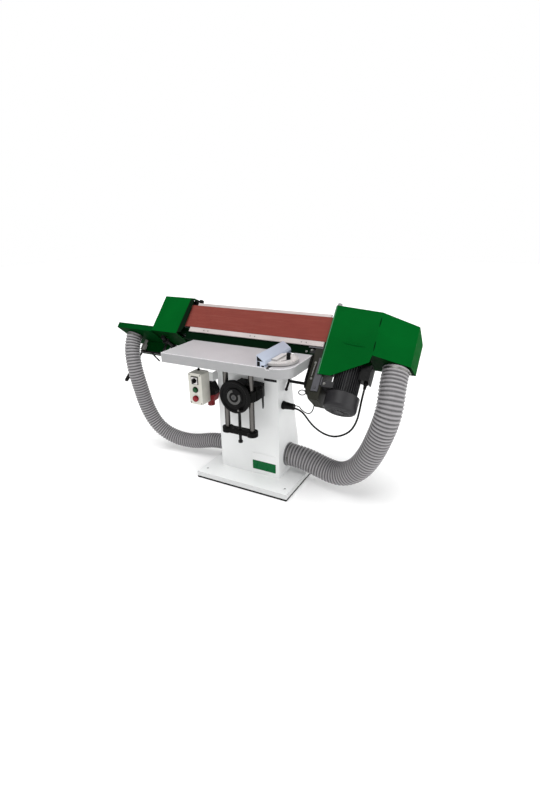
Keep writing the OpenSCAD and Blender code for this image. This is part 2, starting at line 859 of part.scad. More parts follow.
// Round-edged cup with radial air slots in its end
module fan_cover() {
    r = fan_cover_d/2;
    color([0.1, 0.1, 0.1]) head() translate([drive_x, 0, 0]) difference() {
        rotate_extrude() polygon(concat(fan_bowl(r, fan_low), [[r, motor_low + 8], [0,
            motor_low + 8]]));
        rotate_extrude() polygon(concat(fan_bowl(r - sheet, fan_low + sheet), [[r - sheet,
            motor_low - 6], [0, motor_low - 6]]));
        rod_z(motor_low - 6.01, motor_low + 8 + eps, 0, 0, motor_r + clear);
        for (i = [0:17]) rotate([0, 0, 20*i]) block([26, -3, fan_low - eps], [r - 32, 3,
            fan_low + sheet + eps]);
    }
}

module motor_fan() {
    color("dimgray") head() translate([drive_x, 0, 0]) difference() {
        union() {
            rod_z(fan_low + 20, motor_low - 10, 0, 0, shaft_d/2 + 8);
            rod_z(motor_low - 14, motor_low - 10, 0, 0, motor_r - 12);
            for (i = [0:6]) rotate([0, 0, 360*i/7])
                block([shaft_d/2 + 4, -2, fan_low + 20], [motor_r - 12, 2, motor_low - 11]);
        }
        rod_z(fan_low, motor_low, 0, 0, shaft_d/2 + run_fit);
    }
}

module motor_shaft() {
    color("silver") head() rod_z(fan_low + 16, drum_w0 + 0.6*drum_h, drive_x, 0, shaft_d/2);
}

module drum(x, bore, hub_r, hub_w0, hub_w1) {
    wall = 9;
    translate([x, 0, 0]) difference() {
        union() {
            difference() {
                rod_z(drum_w0, drum_w0 + drum_h, 0, 0, drum_r);
                rod_z(drum_w0 - eps, drum_w0 + drum_h + eps, 0, 0, drum_r - wall);
            }
            rod_z(drum_w0 + 0.42*drum_h, drum_w0 + 0.58*drum_h, 0, 0, drum_r - wall + eps);
            rod_z(hub_w0, hub_w1, 0, 0, hub_r);
        }
        rod_z(hub_w0 - eps, hub_w1 + eps, 0, 0, bore);
    }
}

module drive_drum() {
    color([0.2, 0.2, 0.2]) head()
        drum(drive_x, shaft_d/2 + run_fit, shaft_d/2 + 12, drum_w0 + 0.2*drum_h, drum_w0 + 0.7*drum_h);
}

module terminal_box() {
    x1 = term_x0 + term_d;
    color([0.1, 0.1, 0.1]) head() {
        difference() {
            block([term_x0, term_v - 34, term_w0], [x1 - 8, term_v + 34, term_w1]);
            rod_z(term_w0 - eps, term_w0 + 20, term_x0 + 34, gland_v, gland_r - 4);
        }
        block([x1 - 8 + clear, term_v - 38, term_w0 - 4], [x1, term_v + 38, term_w1 + 4]);
        difference() {
            union() {
                rod_z(term_w0 - 14, term_w0, term_x0 + 34, gland_v, gland_r);
                translate([term_x0 + 34, gland_v, term_w0 - gland_l + clear])
                    cylinder(h = gland_l - 13, r1 = cord_d/2 + 2, r2 = gland_r - 2);
            }
            rod_z(term_w0 - gland_l - eps, term_w0 - gland_l + 6, term_x0 + 34, gland_v, cord_d/2 - 2);
        }
    }
}

// Casting that hangs from the beam and carries the motor by its feet
module drive_bracket() {
    web = 22;
    x0 = bracket_x;
    color([0.17, 0.18, 0.12]) head() {
        block([x0, beam_front + flange_t + clear, 2], [foot_x - clear, beam_back, beam_bottom]);
        block([foot_x - clear - web, -66, -296], [foot_x - clear, 72, 2]);
        for (v = [-66, 44]) along_y(v, v + 22) polygon([[x0, beam_bottom - 16], [foot_x - web, 2],
            [foot_x - web, -290], [x0 + 34, -290], [x0 + 6, -262], [x0, -150]]);
        along_y(-66, 66) polygon([[x0 + 34, -296], [foot_x - web, -296], [foot_x - web, -268],
            [x0 + 18, -268]]);
    }
}

// Flat steel bars on the front of the casting
module bracket_rail() {
    color("slategray") head() {
        block([bracket_x + 37, rail_v, -250], [bracket_x + 75, -66, -60]);
        block([bracket_x + 80, rail_v, -212], [bracket_x + 86, -66, -165]);
    }
}

// Idler, tension and tracking

module idler_carriage() {
    color("dimgray") head() {
        difference() {
            union() {
                block([car_x0 + 60, -car_half, car_w0], [car_x1, car_half, car_w0 + car_t]);
                block([car_x0, -24, car_w0], [car_x0 + 61, 24, car_w0 + car_t]);
            }
            block([crank_x - crank_pin_r - 1, -15, car_w0 - eps], [crank_x + crank_pin_r + 1, 15,
                beam_bottom]);
            rod_z(car_w0 - eps, beam_bottom, idler_x, 0, idler_r);
        }
    }
}

module idler_shaft() {
    color("silver") head() rod_z(car_w0, arm_top - clear, idler_x, 0, idler_r);
}

module idler_drum() {
    seat_r = 31;
    race_h = 16;
    low = drum_w0 + 6;
    high = drum_w0 + drum_h - 6 - race_h;
    color([0.2, 0.2, 0.2]) head() {
        difference() {
            drum(idler_x, idler_r + 3, seat_r + 9, drum_w0 + 4, drum_w0 + drum_h - 4);
            for (w = [low, high]) rod_z(w - 20*(w == low ? 1 : 0), w + race_h + 20*(w == high ? 1 : 0),
                idler_x, 0, seat_r);
        }
        for (w = [low, high]) translate([idler_x, 0, w]) difference() {
            cylinder(h = race_h, r = seat_r - run_fit);
            translate([0, 0, -eps]) cylinder(h = race_h + 2*eps, r = idler_r + run_fit);
        }
    }
}

// Post inside the belt loop whose top plate guides the idler shaft's upper end
module tracking_arm() {
    color([0.12, 0.12, 0.12]) head() difference() {
        union() {
            block([arm_x1 - 26, arm_v0 + 10, beam_top], [arm_x1, arm_v1, arm_top]);
            block([arm_x0, arm_v0 + 10, arm_top - arm_plate_t], [arm_x1, arm_v1, arm_top]);
        }
        hull() for (x = [idler_x - 1, idler_x + slack_travel + 1])
            rod_z(arm_top - 2*arm_plate_t, arm_top + eps, x, 0, idler_r + 1, $fn = 32);
        for (x = knob_xs) rod_z(arm_top - 2*arm_plate_t, arm_top + eps, x, knob_v, 4 + run_fit);
    }
}

module knob(x) {
    top = arm_top + clear;
    rod_z(arm_top - arm_plate_t, top + 4, x, knob_v, 4);
    rod_z(top, top + 8, x, knob_v, 9);
    difference() {
        rod_z(top + 8, top + 26, x, knob_v, 15);
        for (i = [0:7]) rotate_about(x, knob_v, 45*i) rod_z(top + 7, top + 27, x + 17, knob_v, 4);
    }
}

module rotate_about(x, y, a) {
    translate([x, y, 0]) rotate([0, 0, a]) translate([-x, -y, 0]) children();
}

module tracking_knob() {
    color([0.06, 0.06, 0.06]) head() knob(knob_xs[0]);
}

module tracking_lock() {
    color([0.06, 0.06, 0.06]) head() knob(knob_xs[1]);
}

module tension_mounts() {
    color([0.1, 0.1, 0.1]) head() {
        for (v = [26, 122]) difference() {
            block([crank_x - 18, v, crank_w - 18], [crank_x + 18, v + 18, lh_bottom]);
            rod_y(v - eps, v + 18 + eps, crank_x, crank_w, crank_shaft_r + run_fit);
        }
        block([bar_x0, 84, bar_w0], [-712, 96, bar_w0 + 13]);
        block([-730, 84, bar_w0 + 12], [-718, 96, lh_bottom]);
        rod([-820, 90, bar_w0 + 6], [-728, 90, bar_w0 - 44], 5);
    }
}

module spring_cup() {
    color("cornsilk") head() {
        rod_z(bar_w0 + 13, tray_bottom, bar_x0 + 12, 90, 10);
        rod_z(bar_w0 + 18, bar_w0 + 60, bar_x0 + 12, 90, 18);
    }
}

// Cross shaft with the crank that moves the carriage, and the long hand lever
module tension_lever() {
    hub = [crank_x, lever_v, crank_w];
    elbow = [elbow_x, lever_v, elbow_w];
    grip = [grip_x, lever_v, grip_w];
    color([0.08, 0.08, 0.08]) head() {
        rod_y(-12, lever_v + 14, crank_x, crank_w, crank_shaft_r);
        block([crank_x - 4, -12, crank_w], [crank_x + 4, 12, crank_pin_w]);
        rod_y(-12, 12, crank_x, crank_pin_w, crank_pin_r);
        rod_y(lever_v - 16, lever_v + 14, crank_x, crank_w, 20);
        rod(hub, elbow, 7);
        translate(elbow) sphere(9);
        rod(elbow, grip, 7);
        rod(grip + 0.4*(elbow - grip), grip, 13);
        translate(grip) sphere(13);
    }
}

module hood_knob() {
    x = rh_x0 + 8;
    v = hood_v + 24;
    top = rh_top + clear;
    color("gray") head() {
        rod_z(top - 16, top + 1, x, v, 3);
        rod_z(top, top + 5, x, v, 7);
        rod_z(top + 5, top + 20, x, v, 13);
    }
}

// Table and lift

module table_outline() {
    difference() {
        translate([table_x0, table_front]) square([table_l, table_w]);
        translate([table_x1 - corner_r, table_front - eps]) square([corner_r + eps, corner_r + eps]);
    }
    translate([table_x1 - corner_r, table_front + corner_r]) circle(corner_r, $fn = 96);
}

module table_inside() {
    x0 = table_x0 + apron_t;
    y0 = table_front + apron_t;
    r = corner_r - apron_t;
    difference() {
        translate([x0, y0]) square([table_l - 2*apron_t, table_w - 2*apron_t]);
        translate([table_x1 - corner_r, y0 - eps]) square([corner_r, r + eps]);
    }
    translate([table_x1 - corner_r, table_front + corner_r]) circle(r, $fn = 96);
}

// Casting with an apron all round, cross ribs below and the gauge slot
module table() {
    boss = slot_w + 26;
    color("lightgray") difference() {
        union() {
            difference() {
                translate([0, 0, table_z - apron_h]) linear_extrude(apron_h) table_outline();
                translate([0, 0, table_z - apron_h - eps])
                    linear_extrude(apron_h - table_t + eps) table_inside();
            }
            for (x = [-260, 190]) block([x - 6, table_front + 4, table_z - apron_h + 8],
                [x + 6, table_back - 4, table_under + eps]);
            block([slot_x - boss/2, table_front + 4, table_z - slot_h - 14],
                [slot_x + boss/2, table_back - 4, table_under + eps]);
        }
        block([slot_x - slot_w/2, table_front - eps, table_z - slot_h], [slot_x + slot_w/2,
            table_back + eps, table_z + eps]);
    }
}

module table_saddle() {
    color("dimgray") difference() {
        block([rod_xs[0] - rod_r - 18, rod_y - 36, table_under - saddle_t],
            [rod_xs[1] + rod_r + 18, rod_y + 36, table_under]);
        for (x = rod_xs) rod_z(table_under - saddle_t - eps, table_under - 6, x, rod_y, rod_r);
    }
}

module guide_rods() {
    color("silver") for (x = rod_xs) rod_z(cross_z, table_under - 6, x, rod_y, rod_r);
}

module cross_plate() {
    color([0.08, 0.08, 0.08]) difference() {
        translate([0, 0, cross_z]) linear_extrude(cross_t) {
            translate([rod_xs[0], rod_y - rod_r - 8]) square([rod_gap, rod_d + 16]);
            for (x = rod_xs) translate([x, rod_y]) circle(rod_r + 18);
        }
        for (x = rod_xs) rod_z(cross_z - eps, cross_z + cross_t + eps, x, rod_y, rod_r);
        rod_z(cross_z - eps, cross_z + cross_t + eps, lift_x, rod_y, screw_r + run_fit);
    }
}

// Cast box on the column's front: rod guides at the sides, bevel gears in the middle
module lift_housing() {
    slope = 40;
    color([0.07, 0.07, 0.07]) difference() {
        union() {
            along_y(house_front + 40, col_front) polygon([[house_x0 + slope, house_z0 + slope],
                [lift_x - 40, house_z0], [lift_x + 40, house_z0], [house_x1, house_z0 + slope],
                [house_x1, house_z1], [lift_x - 40, house_z1 + 8], [house_x0 + slope,
                    house_z1 - slope]]);
            for (x = rod_xs) rod_z(house_z0 + slope, house_z1 - slope/2, x, rod_y, rod_r + 12);
            for (x = rod_xs) block([x - 16, rod_y, house_z0 + slope], [x + 16, col_front,
                house_z1 - slope/2]);
            rod_y(house_front, col_front, lift_x, wheel_z, cavity_r + 14);
            rod_z(house_z0 - 8, house_z0 + 60, lift_x, rod_y, screw_r + 12);
        }
        for (x = rod_xs) rod_z(house_z0 - 20, house_z1 + 20, x, rod_y, rod_r + run_fit);
        rod_y(house_front - eps, rod_y, lift_x, wheel_z, screw_r + run_fit);
        rod_z(house_z0 - 20, wheel_z, lift_x, rod_y, screw_r + run_fit);
        rod_x(house_x1 - 20, house_x1 + eps, lock_y, lock_z, lock_stud_r + run_fit);
        rod_y(rod_y - bevel_r - 1, rod_y + bevel_r + 1, lift_x, wheel_z, cavity_r);
        rod_z(wheel_z - bevel_r - 1, wheel_z + bevel_r + 1, lift_x, rod_y, cavity_r);
    }
}

module handwheel() {
    r = wheel_d/2;
    rim = 11;
    color([0.06, 0.06, 0.06]) translate([lift_x, wheel_y, wheel_z]) rotate([90, 0, 0]) {
        rotate_extrude($fn = 96) {
            translate([r - rim, 0]) circle(rim);
            polygon([[screw_r + run_fit, -wheel_t/2], [26, -wheel_t/2], [34, -4], [r - rim - 1, -4],
                [r - rim - 1, 4], [57, 4], [53, wheel_t/2], [screw_r + run_fit, wheel_t/2]]);
        }
        rotate([0, 0, 300]) translate([r - 24, 0, 0]) cylinder(h = 30, r1 = 9, r2 = 11);
    }
}

module handwheel_shaft() {
    front = wheel_y - wheel_t/2;
    color("silver") {
        rod_y(front - 6, rod_y - bevel_r + eps, lift_x, wheel_z, screw_r);
        translate([lift_x, rod_y - bevel_in - clear, wheel_z]) rotate([90, 0, 0])
            cylinder(h = bevel_r - bevel_in - clear, r1 = bevel_in - clear, r2 = bevel_r - 2*clear);
    }
}

module lead_screw() {
    color([0.1, 0.1, 0.1]) {
        rod_z(screw_low, wheel_z - bevel_r + eps, lift_x, rod_y, screw_r);
        rod_z(screw_low, screw_low + collar_h, lift_x, rod_y, screw_r + 5);
        translate([lift_x, rod_y, wheel_z - bevel_r + clear])
            cylinder(h = bevel_r - bevel_in - 2*clear, r1 = bevel_r - 2*clear, r2 = bevel_in - clear);
    }
}

module table_lever() {
    y = lock_y;
    color([0.06, 0.06, 0.06]) {
        rod_x(lock_x - 18, lock_x + 1, y, lock_z, lock_stud_r);
        rod_x(lock_x, lock_x + 23, y, lock_z, 11);
        along_x(lock_x + 12, lock_x + 20) polygon([[y - 9, lock_z], [y + 9, lock_z],
            [y + 5, lock_z - 118], [y - 2, lock_z - 128]]);
    }
}

// Miter gauge

module gauge_bar() {
    half = slot_w/2 - slot_fit;
    color("silver") difference() {
        union() {
            block([slot_x - half, gauge_y - 120, table_z - slot_h + slot_fit],
                [slot_x + half, gauge_y + 130, table_z - slot_fit]);
            block([slot_x - 6, gauge_y - 9, table_z - 3], [slot_x + half, gauge_y + 9,
                table_z + clear + arm_h]);
            block([slot_x, gauge_y - 9, table_z + clear], [slot_x + clamp_r + 9, gauge_y + 9,
                table_z + clear + arm_h]);
        }
        rod_z(table_z - slot_h - eps, gauge_z + eps, slot_x, gauge_y, 5);
        rod_z(table_z - eps, gauge_z + eps, slot_x + clamp_r, gauge_y, 4 + run_fit);
    }
}

// Half-disc protractor that turns on the bar's pin
module gauge_head() {
    z0 = gauge_z;
    color("whitesmoke") difference() {
        union() {
            translate([slot_x, gauge_y, z0]) linear_extrude(gauge_t) intersection() {
                circle(gauge_r, $fn = 96);
                translate([-fence_gap, -gauge_r]) square([gauge_r + fence_gap, 2*gauge_r]);
            }
            translate([slot_x, gauge_y, z0 + gauge_t - eps]) linear_extrude(10) intersection() {
                circle(gauge_r - 26, $fn = 96);
                translate([-fence_gap, -60]) square([30, 120]);
            }
            rod_z(table_z - slot_h + 1, z0 + eps, slot_x, gauge_y, 5 - run_fit);
        }
        translate([slot_x, gauge_y, z0 - eps]) linear_extrude(gauge_t + 3*eps) intersection() {
            difference() {
                circle(clamp_r + 5);
                circle(clamp_r - 5);
            }
            polygon([[0, 0], [80, -102], [150, 0], [80, 102]]);
        }
    }
}

module fence_profile() {
    polygon([[0, 0], [fence_w, 0], [fence_w, 0.34*fence_h], [fence_w - 4, 0.5*fence_h],
        [6, fence_h], [0, fence_h]]);
}

// Aluminium extrusion with two open chambers
module fence() {
    z0 = table_z + 2*clear;
    color("lightsteelblue") translate([fence_x1 - fence_w, 0, z0]) difference() {
        along_y(fence_far - fence_l, fence_far) fence_profile();
        along_y(fence_far - fence_l - eps, fence_far + eps) {
            polygon([[4, 0.5*fence_h], [fence_w - 16, 0.5*fence_h], [4, fence_h - 8]]);
            translate([4, 4]) square([14, 0.36*fence_h]);
            translate([fence_w - 8, 6]) square([9, 7]);
        }
    }
}

module gauge_lever() {
    x = slot_x + clamp_r;
    z = gauge_z + gauge_t;
    color([0.06, 0.06, 0.06]) {
        rod_z(table_z + 2*clear, z + 4, x, gauge_y, 4);
        rod_z(z + clear, z + 16, x, gauge_y, 11);
        along_z_bar(x, gauge_y, z + 8);
    }
}

module along_z_bar(x, y, z) {
    hull() {
        translate([x, y, z]) cylinder(h = 8, r = 7, $fn = 32);
        translate([x - 8, y + 34, z + 8]) cylinder(h = 8, r = 5, $fn = 32);
    }
}

// Switches and electrics

module switch_box() {
    color("gainsboro") difference() {
        union() {
            translate([switch_x0, switch_back, switch_z0]) rotate([90, 0, 0])
                linear_extrude(switch_depth) rounded(switch_w, switch_h, 10);
            block([button_x - 26, switch_front - 3, select_z - 26], [button_x + 26,
                switch_front + eps, select_z + 26]);
        }
        for (z = [green_z, red_z]) rod_y(switch_front - eps, switch_front + 24, button_x, z,
            button_r + clear);
        rod_y(switch_front - 4, switch_front + 18, button_x, select_z, 6 + run_fit);
    }
}

module push_button(z) {
    rod_y(switch_front - 9, switch_front + 16, button_x, z, button_r);
}

module green_button() {
    color("green") push_button(green_z);
}

module red_button() {
    color("red") push_button(red_z);
}

module selector() {
    color([0.06, 0.06, 0.06]) {
        rod_y(switch_front - 6, switch_front + 16, button_x, select_z, 6);
        rod_y(switch_front - 14, switch_front - 3 - clear, button_x, select_z, select_r);
        block([button_x - 4, switch_front - 26, select_z - select_r + 1], [button_x + 4,
            switch_front - 13, select_z + select_r - 1]);
    }
}

module switch_bracket() {
    z0 = switch_z0 + 0.68*switch_h;
    z1 = switch_z0 + 0.95*switch_h;
    color("dimgray") {
        block([col_x0 - plate_t, switch_back, z0], [col_x0, col_front + 60, z1]);
        block([switch_x0 + 20, switch_back, z0], [col_x0, switch_back + plate_t, z1]);
    }
}

// Angled inlet housing behind the switch box
module power_inlet() {
    color([0.05, 0.05, 0.05]) along_y(switch_back, col_front - 4) polygon([[-292, 516], [-226, 516],
        [-206, 578], [-232, 632], [-268, 640], [-284, 600]]);
}

module inlet_collar() {
    y = (switch_back + col_front - 4)/2;
    r = (col_front - 4 - switch_back)/2 - clear;
    color("firebrick") difference() {
        rod_z(476, 516, -259, y, r);
        rod_z(475, 506, -259, y, r - 6);
    }
}

module cord_connector() {
    color([0.05, 0.05, 0.05]) difference() {
        union() {
            rod_x(col_x1, col_x1 + 8, connector_y, connector_z, 26);
            translate([col_x1 + 8, connector_y, connector_z]) rotate([0, 90, 0])
                cylinder(h = connector_l - 26, r1 = 24, r2 = 19);
            rod_x(col_x1 + connector_l - 19, col_x1 + connector_l - clear, connector_y,
                connector_z, 19);
        }
        rod_x(col_x1 + connector_l - 6, col_x1 + connector_l + eps, connector_y,
            connector_z + 10, thin_cord_d/2 - 1);
        rod_x(col_x1 + connector_l - 6, col_x1 + connector_l + eps, connector_y, connector_z - 9,
            cord_d/2 - 2);
    }
}

// Hoses and cords

module left_hose() {
    color("darkgray") ribbed_hose(left_route, left_hose_d, left_pitch);
}

module right_hose() {
    color("darkgray") ribbed_hose(right_route, right_hose_d, right_pitch);
}

module motor_cord() {
    color([0.04, 0.04, 0.04]) plain_cord(cord_route, cord_d, 10, 2.5*cord_d);
}

module switch_cord() {
    color([0.04, 0.04, 0.04]) plain_cord(thin_route, thin_cord_d, 8, 2.5*thin_cord_d);
}

base_plate();
floor_pads();
column();
trunnion_stands();
column_inlets();
rear_outlet();
lift_housing();
switch_box();
switch_bracket();
power_inlet();
inlet_collar();
cord_connector();
left_hose();
right_hose();
motor_cord();
switch_cord();
head_beam();
trunnion_lugs();
tilt_quadrant();
platen();
sanding_belt();
rear_guard();
left_hood();
left_tray();
right_hood();
hose_spigots();
motor_body();
fan_cover();
terminal_box();
drive_bracket();
bracket_rail();
tracking_arm();
tension_mounts();
spring_cup();
motor_shaft();
motor_fan();
drive_drum();
idler_carriage();
idler_shaft();
idler_drum();
tension_lever();
tracking_knob();
tracking_lock();
hood_knob();
tilt_lever();
table();
table_saddle();
guide_rods();
cross_plate();
handwheel();
handwheel_shaft();
lead_screw();
table_lever();
gauge_bar();
gauge_head();
fence();
gauge_lever();
selector();
green_button();
red_button();
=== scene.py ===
"""Looks of the edge sander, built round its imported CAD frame.

Lengths are in metres, apart from places in the head frame, which are in millimetres.
"""

import math

import bmesh
import bpy
import numpy as np
from mathutils import Matrix, Vector


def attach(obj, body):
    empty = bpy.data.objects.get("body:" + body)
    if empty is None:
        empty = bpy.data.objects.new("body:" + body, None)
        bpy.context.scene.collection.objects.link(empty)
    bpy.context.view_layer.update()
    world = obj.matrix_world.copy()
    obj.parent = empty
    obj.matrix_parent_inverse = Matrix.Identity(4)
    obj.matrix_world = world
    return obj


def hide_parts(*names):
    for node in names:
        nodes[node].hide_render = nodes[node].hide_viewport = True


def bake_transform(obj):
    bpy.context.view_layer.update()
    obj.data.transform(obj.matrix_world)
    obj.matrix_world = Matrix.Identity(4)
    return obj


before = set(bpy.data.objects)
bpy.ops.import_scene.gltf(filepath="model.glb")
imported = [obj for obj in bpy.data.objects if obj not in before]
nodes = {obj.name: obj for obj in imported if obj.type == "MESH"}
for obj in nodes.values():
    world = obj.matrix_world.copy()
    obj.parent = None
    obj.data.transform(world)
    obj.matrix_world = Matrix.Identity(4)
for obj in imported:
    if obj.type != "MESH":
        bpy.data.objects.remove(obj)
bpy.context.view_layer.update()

# Head frame: x along the belt, v away from the operator, w up the belt, from the tilt axis
TILT = math.radians(40)
PIVOT = Vector((0, 0.015, 0.861))
X_DIR = Vector((1, 0, 0))
V_DIR = Vector((0, math.cos(TILT), -math.sin(TILT)))
W_DIR = Vector((0, math.sin(TILT), math.cos(TILT)))

# Ways that pieces face: out of the column's front, out of the belt's front, down the head, up
OUT = Vector((0, -1, 0))
FRONT = -V_DIR
DOWN = -W_DIR
UP = Vector((0, 0, 1))


def head(x, v, w):
    """A point of the head frame, given in millimetres, in the part's frame."""
    return PIVOT + X_DIR * (x / 1000) + V_DIR * (v / 1000) + W_DIR * (w / 1000)


# Camera at the photograph's view
CAMERA_AT = (1.3680, -2.3559, 1.5967)
AZIMUTH = math.radians(28.317)
PITCH = math.radians(21.783)
ROLL = math.radians(-1.006)
FOCAL_PX = 471.79
FRAME_HEIGHT_PX = 800
SENSOR_MM = 36


def add_camera():
    """The camera that the photograph's straight lines give."""
    across = math.cos(PITCH)
    back = Vector((math.sin(AZIMUTH) * across, -math.cos(AZIMUTH) * across, math.sin(PITCH)))
    level = Vector((math.cos(AZIMUTH), math.sin(AZIMUTH), 0))
    rise = back.cross(level)
    right = level * math.cos(ROLL) + rise * math.sin(ROLL)
    up = rise * math.cos(ROLL) - level * math.sin(ROLL)
    data = bpy.data.cameras.new("camera")
    data.lens = FOCAL_PX / FRAME_HEIGHT_PX * SENSOR_MM
    data.sensor_width = SENSOR_MM
    data.clip_end = 60
    camera = bpy.data.objects.new("camera", data)
    turn = Matrix((right, up, back)).transposed().to_4x4()
    camera.matrix_world = Matrix.Translation(CAMERA_AT) @ turn
    bpy.context.collection.objects.link(camera)
    bpy.context.scene.camera = camera


add_camera()

# Materials
BEVEL_SAMPLES = 4


class Graph:
    """A new node material with a Principled shader and short ways to add nodes to it."""

    def __init__(self, name):
        self.material = bpy.data.materials.new(name)
        self.material.use_nodes = True
        self.tree = self.material.node_tree
        self.shader = self.tree.nodes["Principled BSDF"]
        self.place = self.add("ShaderNodeTexCoord").outputs["Object"]

    def add(self, kind, **inputs):
        node = self.tree.nodes.new(kind)
        for key, value in inputs.items():
            node.inputs[key.replace("_", " ")].default_value = value
        return node

    def link(self, a, b):
        self.tree.links.new(a, b)

    def noise(self, scale, detail=3.0, rough=0.5, stretch=None):
        node = self.add("ShaderNodeTexNoise", Scale=scale, Detail=detail, Roughness=rough)
        place = self.place
        if stretch:
            mapping = self.add("ShaderNodeMapping", Scale=stretch)
            self.link(self.place, mapping.inputs["Vector"])
            place = mapping.outputs["Vector"]
        self.link(place, node.inputs["Vector"])
        return node.outputs["Fac"]

    def ramp(self, value, low, high, to_low=0.0, to_high=1.0):
        node = self.add("ShaderNodeMapRange", From_Min=low, From_Max=high, To_Min=to_low, To_Max=to_high)
        self.link(value, node.inputs["Value"])
        return node.outputs["Result"]

    def mix(self, factor, a, b):
        node = self.tree.nodes.new("ShaderNodeMix")
        node.data_type = "RGBA"
        self.link(factor, node.inputs[0])
        for socket, value in ((node.inputs[6], a), (node.inputs[7], b)):
            if isinstance(value, (tuple, list)):
                socket.default_value = (*value, 1)
            else:
                self.link(value, socket)
        return node.outputs[2]

    def math(self, kind, a, b):
        node = self.tree.nodes.new("ShaderNodeMath")
        node.operation = kind
        for socket, value in ((node.inputs[0], a), (node.inputs[1], b)):
            if isinstance(value, (int, float)):
                socket.default_value = value
            else:
                self.link(value, socket)
        return node.outputs[0]

    def dot(self, a, b):
        """How far two directions agree; the second may be a plain vector."""
        node = self.tree.nodes.new("ShaderNodeVectorMath")
        node.operation = "DOT_PRODUCT"
        self.link(a, node.inputs[0])
        if isinstance(b, tuple):
            node.inputs[1].default_value = b
        else:
            self.link(b, node.inputs[1])
        return node.outputs["Value"]

    def component(self, vector, axis):
        """One of a vector's three components."""
        split = self.add("ShaderNodeSeparateXYZ")
        self.link(vector, split.inputs["Vector"])
        return split.outputs[axis]

    def own_normal(self):
        """The surface's direction on the part, whatever its pose."""
        return self.add("ShaderNodeTexCoord").outputs["Normal"]

    def rounded(self, radius):
        """The surface's direction with its edges rounded off."""
        edge = self.add("ShaderNodeBevel", Radius=radius)
        edge.samples = BEVEL_SAMPLES
        return edge.outputs["Normal"]

    def bump(self, height, strength, distance, round_edge):
        """Bump on top of rounded edges."""
        node = self.add("ShaderNodeBump", Strength=strength, Distance=distance)
        self.link(height, node.inputs["Height"])
        if round_edge:
            self.link(self.rounded(round_edge), node.inputs["Normal"])
        self.link(node.outputs["Normal"], self.shader.inputs["Normal"])

    def edge_wear_and_highlight(self, tone, bare, radius, amount, broken=0.42):
        """Mix a paler or barer tone in along the edges, broken up by noise: wear on painted and cast edges,
        and a painted highlight on the table's upper edge.
        """
        flat = self.add("ShaderNodeNewGeometry").outputs["Normal"]
        rim = self.ramp(self.dot(self.rounded(radius), flat), 0.985, 0.86, 0, amount)
        patch = self.ramp(self.noise(70, 5, 0.6), broken, broken + 0.18)
        return self.mix(self.math("MULTIPLY", rim, patch), tone, bare)

    def facing(self, low, high):
        """0 to 1 over a range of the upward part of the surface's own direction."""
        return self.ramp(self.component(self.own_normal(), "Z"), low, high)

    def gloss(self, level):
        self.shader.inputs["Specular IOR Level"].default_value = level

    def metallic(self, level):
        self.shader.inputs["Metallic"].default_value = level

    def colour(self, socket):
        self.link(socket, self.shader.inputs["Base Color"])

    def rough(self, socket):
        self.link(socket, self.shader.inputs["Roughness"])


def shade(colour, k):
    """A colour made darker or paler by a factor."""
    return tuple(min(1.0, c * k) for c in colour)


def paint(
    name, colour, bare, rough=0.4, peel=0.12, vary=0.10, gloss=0.2, edge=0.0012, under=1.0, side=1.0
):
    """Sprayed paint: drifting colour, orange peel, faint scuffs, edge wear, and painted shade that darkens
    the undersides and, where asked, the upright sides.
    """
    g = Graph(name)
    drift = g.ramp(g.noise(5, 4), 0.35, 0.65)
    tone = g.mix(drift, shade(colour, 1 - vary), shade(colour, 1 + vary))
    scuff = g.ramp(g.noise(26, 6, 0.62, (1, 1, 5)), 0.58, 0.8, 0, 0.16)
    tone = g.mix(scuff, tone, shade(colour, 0.72))
    tone = g.edge_wear_and_highlight(tone, bare, 0.0022, 0.6)
    # Painted shade: faces that look down on the part get a darker tone
    if under < 1:
        tone = g.mix(g.facing(-0.15, -0.6), tone, shade(colour, under))
    # Painted shade: upright faces get a darker tone than the top
    if side < 1:
        tone = g.mix(g.facing(0.7, 0.3), tone, shade(colour, side))
    g.colour(tone)
    g.rough(g.ramp(g.noise(40, 4), 0.3, 0.7, rough - 0.07, rough + 0.09))
    g.bump(g.noise(420, 2), peel, 0.0006, edge)
    g.gloss(gloss)
    return g.material


def metal(
    name,
    colour,
    rough=0.3,
    stretch=(4, 160, 160),
    vary=0.12,
    metallic=1.0,
    marks=0.12,
    edge=0.0008,
    painted_reflection_way=None,
    side=1.0,
):
    """Ground or drawn metal with fine marks along one way.

    It may carry a painted dark reflection on the flanks that face one way and back, and it may carry
    painted shade that makes all its sides darker than its top.
    """
    g = Graph(name)
    lines = g.noise(6, 5, 0.65, stretch)
    cloud = g.noise(9, 4)
    tone = g.mix(g.ramp(lines, 0.3, 0.7), shade(colour, 1 - vary), shade(colour, 1 + vary))
    tone = g.mix(g.ramp(cloud, 0.45, 0.8, 0, 0.35), tone, shade(colour, 0.78))
    # Painted reflection: flanks turned across the given way are darkened
    if painted_reflection_way:
        turned = g.math("ABSOLUTE", g.dot(g.own_normal(), painted_reflection_way), 0)
        tone = g.mix(g.ramp(turned, 0.35, 0.85, 0, 0.9), tone, shade(colour, 0.12))
    # Painted shade: sides darker than the top
    if side < 1:
        tone = g.mix(g.facing(0.3, 0.8), shade(colour, side), tone)
    g.colour(tone)
    g.rough(g.ramp(lines, 0.25, 0.75, rough - 0.08, rough + 0.12))
    g.bump(lines, marks, 0.0004, edge)
    g.metallic(metallic)
    return g.material


